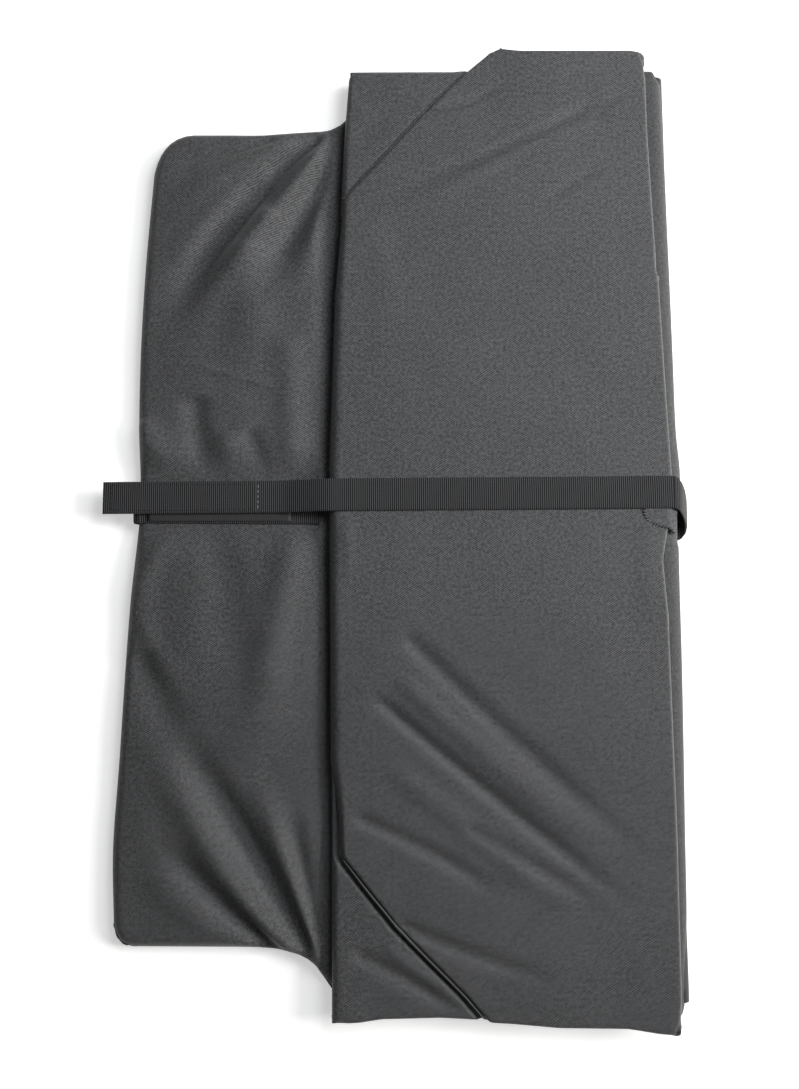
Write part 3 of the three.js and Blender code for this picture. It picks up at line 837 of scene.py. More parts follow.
# ---- Shoulders -----------------------------------------------------------------------------------
# The packet's corners and bends. Its right side swells by the strap, is drawn in just below it, and has
# a small step where two plies part.
MITRE_RIGHT = [(-35.0, 201.0), (20.0, 263.0), (45.5, 288.4), (59.0, 300.3), (65.6, 303.7)]
MITRE_LEFT = [(-32.0, -202.5), (0.0, -241.5), (40.0, -280.5), (53.5, -295.6)]
DRAWN_IN = (160.9, -25.5)
SWELL = (168.0, 24.0)
PLY_STEP = [(163.1, 151.4), (161.5, 155.0), (161.9, 162.5)]
NEAR_CORNER = (160.5, -303.0)
FAR_CORNER = (155.0, 301.2)
SHOULDER_SIDES = (
    MITRE_LEFT + [(94.0, -299.1), (134.0, -299.6), (152.0, -302.4), NEAR_CORNER],
    MITRE_RIGHT + [(78.0, 302.2), (149.0, 302.4), FAR_CORNER],
    [MITRE_LEFT[0], (-40.2, -148.0), (-42.4, 30.0), (-39.8, 140.0), MITRE_RIGHT[0]],
    [NEAR_CORNER, (163.2, -302.0), (164.8, -287.0), (165.0, -200.0), (163.4, -61.0), DRAWN_IN, (166.6, 2.0),
     SWELL, (165.6, 81.0), *PLY_STEP, (158.9, 240.0), (158.3, 283.0), (157.4, 297.0), FAR_CORNER],
)


def mitre_gap(x, y, line):
    """Distance from a mitred edge: positive on its open side, at smaller x."""
    at = np.array(sorted((point[1], point[0]) for point in line))
    return (np.interp(y, at[:, 0], at[:, 1]) - x) * 0.72


def shoulder_height(x, y):
    """Height of the shoulder panel: almost flat, with shallow diagonal folds, pressed by the strap."""
    under_strap = 1.0 - smooth((np.abs(y - 14.0) - 10.0) / 12.0)
    folds = creases(x, y, SHOULDER_CREASES) * wrinkle_share()
    small = rumples(x, y, 42.0, 31, 3) * 0.28 + rumple(x, y, 120.0, 33) * 0.35
    near_edge = smooth((x - PACKET_LEFT) / 14.0)
    return SHOULDER_HIGH[2] - 0.35 + (folds + small) * (1.0 - under_strap) * (0.4 + 0.6 * near_edge)


def open_side(x, y):
    """How much a point belongs to the packet's open side: 1 by its left edge, 0 elsewhere."""
    return smooth((-29.0 - x) / 7.0) * smooth((y + 207.0) / 30.0) * smooth((214.0 - y) / 20.0)


def shoulder_depth(x, y):
    """How far the shoulder panel's edges roll down: deep at the open side, shallow elsewhere."""
    ends = smooth((np.abs(y) - 278.0) / 12.0) * smooth((x - 56.0) / 12.0)
    return 1.7 + 6.2 * open_side(x, y) + 1.6 * ends


def shoulder_reach(x, y):
    """How far in from its edge the shoulder panel starts to roll: softly at the open side."""
    return 2.0 + 4.0 * open_side(x, y)


def build_shoulder_upper():
    """The packet's top ply; its right-hand edge, which faces the key light, carries a pale mark that is partly
    real wear and partly a painted highlight.
    """
    piece = panel("shoulder_upper_cloth", SHOULDER_SIDES, (195.0, 560.0), 1.75, shoulder_height,
                  shoulder_depth, shoulder_reach, finish("twill"),
                  # Painted highlight, partly real wear, on the right-hand edge that faces the key light.
                  worn_and_lit=lambda x, y: smooth((x - 120.0) / 30.0))
    thicken(piece, bpy.context.scene.bag_cloth.ply)
    finish_piece(piece, ["shoulder_upper_panel"], body="shoulder_fold")
    return piece


def root_height(x, y):
    """Height of a sleeve root: lower than the shoulder panel, with a dark groove along the mitre."""
    level = layer("sleeve_root_right")[1] - 0.55
    folds = creases(x, y, ROOT_CREASES) * wrinkle_share()
    small = rumples(x, y, 30.0, 41, 3) * 0.3
    top = np.exp(-(((mitre_gap(x, y, MITRE_RIGHT) - 0.5) / 1.1) ** 2)) * 1.5
    low = np.exp(-(((mitre_gap(x, y, MITRE_LEFT) - 2.7) / 1.15) ** 2)) * 3.6
    hidden = smooth(-np.where(y > 0, mitre_gap(x, y, MITRE_RIGHT), mitre_gap(x, y, MITRE_LEFT)) / 3.0)
    return level - np.where(y > 0, top, low) + (folds + small) * (1.0 - hidden)


def root_depth(x, y):
    """A root's open edges roll down deeply at the packet's side and less at its end."""
    side_edge = smooth((-27.0 - x) / 8.0)
    end_edge = smooth((np.abs(y) - 276.0) / 10.0)
    return 0.4 + 4.6 * side_edge + 2.4 * end_edge * (1.0 - side_edge)


def build_roots():
    """The two sleeve roots: the squared corners that show outside the mitres."""
    right = ([(-36.6, 192.0), (-14.0, 192.0)],
             [(-31.4, 285.0), (-28.0, 288.2), (27.0, 288.2), (47.0, 289.6), (66.0, 297.0)],
             [(-36.6, 192.0), (-34.2, 248.0), (-31.4, 285.0)],
             [(-14.0, 192.0), (66.0, 297.0)])
    left = ([(-38.4, -297.6), (-22.0, -296.6), (-9.0, -294.7), (24.0, -293.8), (60.0, -295.5)],
            [(-39.6, -150.0), (-22.0, -150.0)],
            [(-38.4, -297.6), (-39.6, -150.0)],
            [(60.0, -295.5), (-16.0, -200.0), (-22.0, -150.0)])
    for name, sides in (("right", right), ("left", left)):
        piece = panel(f"sleeve_root_{name}_cloth", sides, (95.0, 110.0), 1.5, root_height, root_depth,
                      lambda x, y: 2.2 + 2.8 * smooth((-27.0 - x) / 8.0), finish("twill"))
        thicken(piece, bpy.context.scene.bag_cloth.ply)
        finish_piece(piece, [f"sleeve_root_{name}"], body="shoulder_fold")


def build_seams():
    """The bound edge that shows outside each mitre: half a tube, thinner towards both ends."""
    for name, line, out, width, rise in (
            ("right", MITRE_RIGHT[:3], 1.0, 0.6, 0.4), ("left", MITRE_LEFT, -1.0, 1.5, 1.1)):
        t = np.linspace(0.01, 0.97, 120)
        route = relaxed(line, 40)[np.linspace(7, 679, 120).astype(int)]
        along = np.gradient(route, axis=0)
        along /= np.linalg.norm(along, axis=1)[:, None]
        across = np.stack([-along[:, 1], along[:, 0]], axis=1) * out
        angle = np.linspace(0.0, 2 * np.pi, 17)[:-1]
        taper = np.sin(np.pi * np.clip(t, 0.0, 1.0)) ** 0.35
        sway = rumple(t * 137.0, t * 0, 25.0, 51) * 0.3
        middle = route + across * (width * 0.5 + 0.3 + sway)[:, None]
        spread = (width * 0.5 * taper)[:, None] * np.cos(angle)
        x = middle[:, :1] + across[:, :1] * spread
        y = middle[:, 1:] + across[:, 1:] * spread
        z = SHOULDER_HIGH[2] - 1.7 + (rise * taper)[:, None] * np.sin(angle)
        run = (t * 137.0)[:, None]
        uv = np.stack([run + 0 * x, 4.0 * angle[None] + 0 * x], axis=-1)
        piece = grid_mesh(f"armhole_seam_{name}_cloth", np.stack([x, y, z], axis=-1), finish("twill"), uv=uv,
                          attributes={"wear_and_highlight": np.zeros(x.shape)}, wrap=(False, True), flip=out > 0)
        finish_piece(piece, [f"armhole_seam_{name}"], body="shoulder_fold")


def build_inner_ply(name, node, body, material, sag, seed):
    """A flat inner ply of the shoulders: mitred like the panel above it, with faintly uneven edges."""
    low, high = node_box(node)
    middle = (low[2] + high[2]) / 2
    bottom = [(-30.0, -200.0), (50.0, -284.0), (high[0] - 2, -286.0)]
    top = [(-30.0, 196.0), (56.0, 284.0), (high[0] - 2, 286.0)]
    left = [(-30.0, -200.0), (-31.0, -90.0), (-29.5, 20.0), (-31.0, 110.0), (-30.0, 196.0)]
    right = [(high[0] - 2, -286.0), (high[0] - 1, 0.0), (high[0] - 2, 286.0)]
    piece = panel(name, (bottom, top, left, right), (185.0, 540.0), 6.5,
                  lambda x, y: middle + rumples(x, y, 50.0, seed, 2) * sag, lambda x, y: 0.5 + 0 * x,
                  lambda x, y: 2.0 + 0 * x, finish(material))
    thicken(piece, 0.3 * MM)
    finish_piece(piece, [node], body=body)
    return piece


def build_liners():
    """The four plies of the liner and the liner's own turn round the fold."""
    build_inner_ply("shoulder_lower_cloth", "shoulder_lower_panel", "shoulder_fold", "twill_low_shaded",
                    0.12, 61)
    build_inner_ply("shoulder_liner_lower_cloth", "shoulder_liner_lower", "shoulder_fold", "lining",
                    0.08, 62)
    build_inner_ply("shoulder_liner_upper_cloth", "shoulder_liner_upper", "shoulder_fold", "lining",
                    0.08, 63)
    slot_x = node_box("inner_zip_coil_near")[0][0] - 2.4, node_box("inner_zip_coil_far")[1][0] + 2.4
    slot_y = node_box("inner_zip_stop_bottom")[0][1] - 3.0, node_box("inner_zip_stop_top")[1][1] + 12.0
    for node, slotted in (("liner_lower_panel", True), ("liner_upper_panel", False)):
        low, high = node_box(node)
        rows = np.unique(np.round(np.concatenate([np.linspace(-240.0, 236.0, 100), slot_y]), 3))
        columns = np.unique(np.round(np.concatenate([np.linspace(-154.0, high[0] - 3, 70), slot_x]), 3))
        x, y = np.meshgrid(columns, rows)
        x = np.maximum(x, -150.0 + 16.0 * smooth((y - 212.0) / 26.0))
        z = (low[2] + high[2]) / 2 + rumples(x, y, 60.0, 71, 2) * 0.12 - 0.5
        z = z - packet_groove(x, y) * (0.0 if slotted else 0.65)
        keep = np.ones((len(rows) - 1, len(columns) - 1), bool)
        if slotted:
            cell_x = (x[:-1, :-1] + x[:-1, 1:]) / 2
            cell_y = (y[:-1, :-1] + y[1:, :-1]) / 2
            keep = ~((cell_x > slot_x[0]) & (cell_x < slot_x[1])
                     & (cell_y > slot_y[0]) & (cell_y < slot_y[1]))
        piece = grid_mesh(node.replace("panel", "cloth"), np.stack([x, y, z], axis=-1), finish("lining"),
                          uv=np.stack([x, y], axis=-1), keep=keep)
        thicken(piece, 0.3 * MM)
        finish_piece(piece, [node], body="bag_body")
    y = np.linspace(-286.0, 286.0, 70)[:, None]
    angle = np.radians(np.linspace(-90.0, 90.0, 15))[None]
    radius = 5.7 + rumple(y, y * 0, 40.0, 72) * 0.25
    x = FOLD[0] - 5.0 + radius * np.cos(angle) * 1.2
    z = FOLD[2] - 0.9 + radius * np.sin(angle)
    points = np.stack([x, y + 0 * x, z], axis=-1)
    uv = np.stack([5.7 * angle + 0 * x, y + 0 * x], axis=-1)
    piece = grid_mesh("fold_liner_cloth", points, finish("lining"), uv=uv, flip=True)
    thicken(piece, 0.3 * MM)
    finish_piece(piece, ["fold_liner_ply"],
                 joined=("bag_body", "shoulder_fold", (FOLD[0], 0, 3.5), (FOLD[0], 0, 14.5)))


# ---- Sleeves -------------------------------------------------------------------------------------
def flat_tube(name, inward, x_low, x_high, middle, thick, sign, material, ruffle=0.0, seed=0):
    """A sleeve pressed flat: a superellipse section between two edges, carried along Y.

    inward is each section's distance from the hinge line; ruffle waves the section up and down."""
    hinge = abs(joint_place("sleeve_right_unfold")[1])
    angle = np.linspace(0.0, 2 * np.pi, 97)[:-1]
    wide = np.sign(np.cos(angle)) * np.abs(np.cos(angle)) ** 0.75
    tall = np.sign(np.sin(angle)) * np.abs(np.sin(angle)) ** 0.6
    centre = ((x_low + x_high) / 2)[:, None]
    half = ((x_high - x_low) / 2)[:, None]
    x = centre + half * wide
    y = sign * (hinge - inward)[:, None] + 0 * x
    gathers = np.sin(x / 2.3 + 1.7 * rumple(x, y, 9.0, seed)) * 0.7 + rumple(x, y, 5.0, seed + 1) * 0.5
    ruffle = np.asarray(ruffle).reshape(-1, 1)
    z = middle[:, None] + thick[:, None] / 2 * tall + ruffle * gathers * (1 - wide ** 6)
    uv = np.stack([half * angle / np.pi * 2 + 0 * x, y], axis=-1)
    return grid_mesh(name, np.stack([x, y, z], axis=-1), material, uv=uv,
                     attributes={"wear_and_highlight": np.zeros(x.shape)}, wrap=(False, True), flip=sign > 0)


def build_sleeves():
    """Two sleeves, each in two halves with a gathered cuff casing at the end of the far half."""
    near_low, near_high = layer("sleeve_right_near")
    far_low, far_high = layer("sleeve_right_far")
    right_edge = FOLD[0]
    for name, sign in (("right", 1.0), ("left", -1.0)):
        hinge = joint_place(f"sleeve_{name}_unfold")
        turn = joint_place(f"sleeve_{name}_extend")
        inward = np.concatenate([
            np.linspace(-1.4, 4.0, 8), np.linspace(7.0, 101.0, 34), [102.5, 103.6, 104.0]])
        lip = smooth((2.5 - inward) / 4.0)
        pinch = np.minimum(smooth((104.3 - inward) / 2.5), 1.0) * 0.94 + 0.06
        near = flat_tube(
            f"sleeve_{name}_near_cloth", inward, 0 * inward + right_edge - 200.0,
            right_edge - 56.0 - 0.548 * np.clip(inward, 0.0, None), (near_low + near_high) / 2 + lip * 1.1,
            (near_high - near_low - 0.1) * pinch, sign, finish("twill_low_shaded"), 0.06 + 0 * inward, 81)
        finish_piece(near, [f"sleeve_{name}_near"],
                     joined=("shoulder_fold", f"sleeve_{name}_near",
                             (0, sign * 289.0, hinge[2]), (0, sign * 279.0, hinge[2])))

        inward = np.concatenate([[104.2, 103.8, 102.6], np.linspace(100.0, 22.0, 40), [20.6]])
        share = (104.0 - inward) / 84.0
        pinch = smooth((104.6 - inward) / 2.5) * 0.94 + 0.06
        far = flat_tube(
            f"sleeve_{name}_far_cloth", inward, right_edge - 199.0 + 6.0 * share,
            right_edge - 112.0 - 6.0 * share, (far_low + far_high) / 2 + 0 * share,
            (far_high - far_low - 0.1) * pinch * (1 - 0.35 * smooth((share - 0.6) / 0.4)), sign,
            finish("twill_low_shaded"), 0.05 + 0.22 * smooth((share - 0.55) / 0.45), 83)
        finish_piece(far, [f"sleeve_{name}_far"],
                     joined=(f"sleeve_{name}_near", f"sleeve_{name}_far",
                             (0, turn[1] - sign * 0.2, turn[2]), (0, turn[1] + sign * 9.0, turn[2])))

        inward = np.concatenate([[21.0], np.linspace(20.4, 6.6, 16), [6.1]])
        body = np.minimum(smooth((21.3 - inward) / 1.6), smooth((inward - 5.6) / 1.6)) * 0.85 + 0.15
        cuff = flat_tube(
            f"sleeve_{name}_cuff_cloth", inward, 0 * inward + right_edge - 193.0,
            0 * inward + right_edge - 118.0, (far_low + far_high) / 2 + 0 * inward,
            (far_high - far_low) * body, sign, finish("twill_low_shaded"),
            0.24 + 0 * inward, 85)
        finish_piece(cuff, [f"sleeve_{name}_cuff_casing"], body=f"sleeve_{name}_far")


# ---- Strap ---------------------------------------------------------------------------------------
TOP_RUN_HEIGHT = 20.4
TAB_HEIGHT = (STRAP_TAB_LOW[2] + STRAP_TAB_HIGH[2]) / 2
TAB_END = float(STRAP_TAB_HIGH[0])
UNDER_RUN_HEIGHT = 0.62
SECTION = np.array([1.0, 0.985, 0.955, 0.9, 0.8, 0.66, 0.5, 0.33, 0.16, 0.0])


def webbing_section():
    """Corners of the webbing's section on the unit square: flat faces, edges rounded by a superellipse."""
    half = np.concatenate([SECTION, -SECTION[-2::-1]])
    height = (1.0 - np.abs(half) ** 16) ** (1 / 2.4)
    top = np.stack([half, height], axis=1)
    return np.concatenate([top, top[1:-1][::-1] * (1, -1)])


def ribbon(name, spine, ends, sheared=False):
    """Webbing carried along a spine, its section squared to it and ribbed by a cosine of the length run.

    The spine goes clockwise seen from the front, so that its outward side is on its left. Closed ends
    shrink to a line over the last row. A sheared one keeps its section along Y while its spine slips."""
    strap = bpy.context.scene.bag_strap
    half_width = strap.width / MM / 2
    half_thick = strap.thickness / MM / 2
    steps = np.linalg.norm(np.diff(spine, axis=0), axis=1)
    run = np.concatenate([[0.0], np.cumsum(steps)])
    tangent = np.gradient(spine, axis=0)
    tangent /= np.linalg.norm(tangent, axis=1)[:, None]
    out = np.stack([-tangent[:, 2], 0 * run, tangent[:, 0]], axis=1)
    out /= np.linalg.norm(out, axis=1)[:, None]
    across = np.array([[0.0, 1.0, 0.0]]) + 0 * out if sheared else np.cross(out, tangent)
    crest = (0.5 + 0.5 * np.cos(2 * np.pi * run / (strap.rib_pitch / MM))) ** 0.8
    section = webbing_section()
    rib = (crest - 0.5)[:, None] * strap.rib_height / MM
    a = section[:, 0] * half_width + rib * 0.5 * np.sign(section[:, 0]) * (np.abs(section[:, 0]) > 0.97)
    b = section[:, 1] * half_thick + rib * np.sign(section[:, 1])
    cup = -0.22 * section[:, 0] ** 4
    b = b + cup * np.ones_like(rib)
    points = spine[:, None] + across[:, None] * a[..., None] + out[:, None] * b[..., None]
    # The crest share also drives the material's painted shade between the ribs and painted highlight on them.
    crests = np.repeat(crest[:, None], len(section), axis=1)
    # Painted highlight: a pale beige band on the turn round the fold, where the webbing faces the key light.
    worn_and_lit = smooth((run - 3.0) / 5.0) * (1.0 - smooth((run - 20.0) / 8.0)) * (0.75 if sheared else 0.0)
    for closed, row, inward in ((ends[0], 0, 1), (ends[1], -1, -1)):
        if closed:
            points[row] = spine[row] + across[row] * (a[row] * 0.99)[:, None] - tangent[row] * 0.1 * inward
    uv = np.stack([run[:, None] + 0 * a, section[:, 0] * half_width + 0 * a], axis=-1)
    return grid_mesh(name, points, finish("webbing"), uv=uv, attributes={
        "rib": crests, "wear_and_highlight": crests * 0 + worn_and_lit[:, None]}, wrap=(False, True))


def rib_steps(route, count_per_rib=5):
    """The route's points again, a fifth of a rib apart."""
    pitch = bpy.context.scene.bag_strap.rib_pitch / MM
    route = np.asarray(route, float)
    total = np.linalg.norm(np.diff(route, axis=0), axis=1).sum()
    return along_curve(route, int(total / pitch * count_per_rib) + 1)


def relaxed(route, passes=12):
    """Rounds a route's corners: each inner point moves to the mean of itself and its neighbours."""
    route = along_curve(route, 700)
    for _ in range(passes):
        route[1:-1] = (route[:-2] + 2 * route[1:-1] + route[2:]) / 4
    return route


def top_centre(x):
    """The top run leans a little: its centre's y grows slowly with x."""
    return 12.0 + 0.0077 * (x + 179.2)


TURN_SPINE = [(168.5, 20.3), (171.3, 19.3), (174.0, 16.8), (176.4, 13.2), (178.3, 9.0), (178.4, 5.6),
              (176.6, 2.6), (172.6, 1.0), (166.0, 0.66), (158.0, 0.62)]


def round_the_fold():
    """The strap's turn round the fold: bulging outwards on its way down, and slipping in -Y as it falls."""
    flat = relaxed(TURN_SPINE, 30)
    slip = np.clip((flat[:, 1] - UNDER_RUN_HEIGHT) / (flat[0, 1] - UNDER_RUN_HEIGHT), 0.0, 1.0)
    y = -4.0 + (top_centre(flat[0, 0]) + 4.0) * slip
    return np.stack([flat[:, 0], y, flat[:, 1]], axis=1)


def over_the_packet(last):
    """The strap's route on top, from the packet's open side, over the shoulders, to the turn at the fold."""
    flat = [(TAB_END, TAB_HEIGHT), (-77.0, TAB_HEIGHT), (-69.0, TAB_HEIGHT + 0.6), (-47.5, 19.5),
            (-41.0, TOP_RUN_HEIGHT), (60.0, TOP_RUN_HEIGHT - 0.1), (150.0, TOP_RUN_HEIGHT),
            (162.0, TOP_RUN_HEIGHT + 0.15), (last[0], last[2])]
    flat = relaxed(flat, 60)
    return np.stack([flat[:, 0], top_centre(flat[:, 0]), flat[:, 1]], axis=1)


def build_strap():
    """The strap in its five lengths, one after another, so that the ribs run on across the joins."""
    turn_route = round_the_fold()
    top = over_the_packet(turn_route[0])
    top_run = ribbon("strap_top_webbing", rib_steps(top), ends=(False, False))
    finish_piece(top_run, ["strap_top_run"],
                 joined=("shoulder_fold", "strap_top", (172.5, 0, 0), (164.0, 0, 0)))

    tab = [(STRAP_TAB_LOW[0] - 2.3, top_centre(STRAP_TAB_LOW[0]), TAB_HEIGHT - 0.3),
           (-172.0, top_centre(-172.0), TAB_HEIGHT), tuple(top[0])]
    tab_piece = ribbon("strap_tab_cloth_webbing", rib_steps(relaxed(tab, 40)), ends=(True, False))
    finish_piece(tab_piece, ["strap_tab_webbing"],
                 joined=("strap_top", "strap_tab", (TAB_END + 0.4, 0, 0), (TAB_END - 5.0, 0, 0)))

    turn = ribbon("strap_right_turn_webbing", rib_steps(turn_route), ends=(False, False), sheared=True)
    finish_piece(turn, ["strap_right_wrap"],
                 joined=("bag_body", "shoulder_fold", (FOLD[0], 0, 2.0), (FOLD[0], 0, 15.5)))

    under = [(158.0, -4.0, UNDER_RUN_HEIGHT), (-158.6, 7.0, UNDER_RUN_HEIGHT)]
    under_run = ribbon("strap_under_webbing", rib_steps(under), ends=(False, False))
    finish_piece(under_run, ["strap_under_run"], body="bag_body")

    wrap_centre = (-158.6, 5.62)
    wrap = arc(wrap_centre, wrap_centre[1] - UNDER_RUN_HEIGHT, -90.0, -270.0, 30)
    wrap = np.stack([[p[0] for p in wrap], [7.0] * len(wrap), [p[1] for p in wrap]], axis=1)
    wrap_piece = ribbon("strap_left_turn_webbing", rib_steps(wrap), ends=(False, False))
    finish_piece(wrap_piece, ["strap_left_wrap"], body="bag_body")

    _, end_high = node_box("strap_loop_webbing")
    loop_end = [(-158.6, 7.0, wrap[-1][2]), (-150.0, 6.8, wrap[-1][2] + 0.05), (end_high[0], 6.2, 10.7)]
    loop_piece = ribbon("strap_loop_end_webbing", rib_steps(relaxed(loop_end, 30)), ends=(False, True))
    finish_piece(loop_piece, ["strap_loop_webbing"],
                 joined=("bag_body", "strap_loop_end", (-158.4, 0, 0), (-151.0, 0, 0)))
    build_fastening()
    build_stitches(top)


def tape_backing(name, node, body):
    """A fastening tape's backing: a flat box with rounded edges, its section a superellipse."""
    low, high = node_box(node)
    middle, half = (low + high) / 2, (high - low) / 2
    x = np.concatenate([[low[0]], np.linspace(low[0], high[0], 40), [high[0]]])
    angle = np.linspace(0.0, 2 * np.pi, 33)[:-1]
    full = np.ones(len(x))
    full[[0, -1]] = 0.0
    y = middle[1] + half[1] * np.sign(np.cos(angle)) * np.abs(np.cos(angle)) ** 0.25 + 0 * x[:, None]
    rise = np.sign(np.sin(angle)) * np.abs(np.sin(angle)) ** 0.25
    z = middle[2] + half[2] * rise * full[:, None]
    points = np.stack([x[:, None] + 0 * y, y, z], axis=-1)
    piece = grid_mesh(name, points, finish("tape"), wrap=(False, True), flip=True)
    finish_piece(piece, [node], body=body)
    return low, high


def bristles(name, low, high, height, lean, pitch, radius, up, body):
    """Rows of small bent bristles over a tape: each is a tube of four sides that leans, then hooks over."""
    t = np.linspace(0.0, 1.0, 4)
    angle = np.linspace(0.0, 2 * np.pi, 5)[:-1]
    spine_x = lean * np.sin(np.pi * t * 0.85)
    spine_z = height * np.sin(np.pi * 0.62 * t) / math.sin(math.pi * 0.62 * 0.82)
    x = spine_x[:, None] + radius * np.cos(angle)
    y = radius * np.sin(angle) + 0 * x
    z = up * (spine_z[:, None] + 0 * x)
    shape = np.stack([x, y, z], axis=-1).reshape(-1, 3)
    xs, ys = np.meshgrid(np.arange(low[0] + 1.5, high[0] - 1.5, pitch),
                         np.arange(low[1] + 1.2, high[1] - 1.0, pitch))
    rng = np.random.default_rng(17)
    jitter = rng.uniform(-0.25, 0.25, (2, xs.size)) * pitch
    base = high[2] if up > 0 else low[2]
    turn = rng.uniform(-0.5, 0.5, xs.size)
    axes = np.zeros((xs.size, 3, 4))
    axes[:, 0, 0] = np.cos(turn)
    axes[:, 1, 0] = np.sin(turn)
    axes[:, 0, 1] = -np.sin(turn)
    axes[:, 1, 1] = np.cos(turn)
    axes[:, 2, 2] = 1.0
    axes[:, 0, 3] = xs.ravel() + jitter[0]
    axes[:, 1, 3] = ys.ravel() + jitter[1]
    axes[:, 2, 3] = base
    piece = repeat_shape(name, shape, quads(4, 4, wrap_cols=True), axes, finish("pile"))
    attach(piece, body)


def build_fastening():
    """Hook tape under the strap's tab and loop tape on the loop end, with their bristles."""
    low, high = tape_backing("strap_hook_backing", "strap_hook_tape", "strap_tab")
    bristles("strap_hooks", low, high, 0.26, 0.35, 1.5, 0.10, -1, "strap_tab")
    low, high = tape_backing("strap_loop_backing", "strap_loop_tape", "strap_loop_end")
    bristles("strap_loops", low, high, 0.26, 0.5, 1.3, 0.09, 1, "strap_loop_end")


def build_stitches(top):
    """Rows of stitches on the tab's face and across its inner end, and a bar of pale stitches across the top
    run.
    """
    strap = bpy.context.scene.bag_strap
    shape, faces = bead()
    pitch = strap.stitch / MM
    inset = strap.width / MM / 2 - 2.1
    height = TAB_HEIGHT + strap.thickness / MM / 2
    rows = []
    for sign in (1.0, -1.0):
        start, end = (STRAP_TAB_LOW[0] + 3.0, TAB_END - 1.5)
        rows.append(stitch_row((start, top_centre(start) + sign * inset, height - 0.08),
                               (end, top_centre(end) + sign * inset, height + 0.02), pitch, 0.34))
    start = STRAP_TAB_LOW[0] + 3.0
    rows.append(stitch_row((start, top_centre(start) - inset, height - 0.08),
                           (start, top_centre(start) + inset, height - 0.08), pitch, 0.34))
    piece = repeat_shape("strap_tab_stitches", shape, faces, np.concatenate(rows), finish("thread_dark"))
    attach(piece, "strap_tab")
    x = TAB_END + 1.2
    row = stitch_row((x, top_centre(x) - inset, height + 0.04),
                     (x, top_centre(x) + inset, height + 0.04), pitch, 0.3)
    piece = repeat_shape("strap_bar_stitches", shape, faces, row, finish("thread_pale"))
    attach(piece, "strap_top")


PATCH_OUTLINE = [(149.6, 6.0), (149.7, 1.0), (151.2, -2.8), (155.0, -5.4), (159.8, -6.9), (164.8, -7.9),
                 (168.6, -11.0)]


def patch_height(x, y):
    """The anchor patch lies on the shoulder panel, steps down over its edge and lies on the fold."""
    step = smooth((x - 164.5) / 4.0)
    over = smooth((x - 167.0) / 7.0)
    return SHOULDER_HIGH[2] + 0.25 - step * 1.7 - over * 1.6


def build_anchor_patch():
    """The patch that anchors the strap: a small double ply with an overlocked edge of slanting stitches."""
    bottom = PATCH_OUTLINE[1:]
    sides = (bottom, [PATCH_OUTLINE[0], (171.5, 6.0)], [PATCH_OUTLINE[1], PATCH_OUTLINE[0]],
             [PATCH_OUTLINE[-1], (171.5, 6.0)])
    piece = panel("strap_anchor_cloth", sides, (22.0, 13.0), 0.8, patch_height, lambda x, y: 1.1 + 0 * x,
                  lambda x, y: 1.2 + 0 * x, finish("twill"))
    thicken(piece, 0.3 * MM)
    finish_piece(piece, ["strap_anchor_patch"], body="shoulder_fold")
    shape, faces = bead(6, 5)
    edge = along_curve(PATCH_OUTLINE, 30)
    heading = np.gradient(edge, axis=0)
    heading /= np.linalg.norm(heading, axis=1)[:, None]
    slant = math.radians(62.0)
    axis = np.stack([heading[:, 0] * math.cos(slant) - heading[:, 1] * math.sin(slant),
                     heading[:, 0] * math.sin(slant) + heading[:, 1] * math.cos(slant)], axis=1)
    places = np.zeros((len(edge), 3, 4))
    places[:, :2, 0] = axis * 2.5
    places[:, :2, 1] = np.stack([-axis[:, 1], axis[:, 0]], axis=1) * 0.42
    places[:, 2, 2] = 0.42
    places[:, :2, 3] = edge + np.stack([-heading[:, 1], heading[:, 0]], axis=1) * 0.5
    places[:, 2, 3] = patch_height(edge[:, 0], edge[:, 1]) - 0.1
    picks = (("dark", slice(0, None, 2), "thread_dark"), ("pale", slice(1, 13, 2), "thread_grey"))
    for name, pick, thread in picks:
        stitches = repeat_shape(f"strap_anchor_stitches_{name}", shape, faces, places[pick], finish(thread))
        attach(stitches, "shoulder_fold")


# ---- Zips ----------------------------------------------------------------------------------------
def build_zip(prefix, seed):
    """One zip: two woven tapes and two coils whose turns interlock."""
    zips = bpy.context.scene.bag_zip
    shape, faces = bead(6, 6)
    for half, sign in (("near", -1.0), ("far", 1.0)):
        low, high = node_box(f"{prefix}_zip_tape_{half}")
        y = np.linspace(low[1], high[1], 160)[:, None]
        x = np.linspace(low[0], high[0], 9)[None]
        middle = (low[2] + high[2]) / 2 + 0.12
        z = middle + rumples(x, y, 30.0, seed, 2) * 0.05
        points = np.stack([x + 0 * y, y + 0 * x, z], axis=-1)
        tape = grid_mesh(f"{prefix}_zip_tape_{half}_cloth", points, finish("tape"), uv=points[..., :2])
        thicken(tape, 0.3 * MM)
        finish_piece(tape, [f"{prefix}_zip_tape_{half}"], body="bag_body")
        low, high = node_box(f"{prefix}_zip_coil_{half}")
        pitch = zips.tooth_pitch / MM
        turns = np.arange(low[1] + pitch / 2 + (pitch / 2 if sign > 0 else 0.0), high[1] - pitch / 2, pitch)
        places = np.zeros((len(turns), 3, 4))
        places[:, 0, 0] = (high[0] - low[0]) * 0.98
        places[:, 1, 1] = 0.52
        places[:, 2, 2] = (high[2] - low[2]) / 2 * 0.8
        places[:, 0, 3] = (low[0] + high[0]) / 2
        places[:, 1, 3] = turns
        places[:, 2, 3] = (low[2] + high[2]) / 2
        coil = repeat_shape(f"{prefix}_zip_coil_{half}_turns", shape, faces, places, finish("coil"))
        finish_piece(coil, [f"{prefix}_zip_coil_{half}"], body="bag_body")


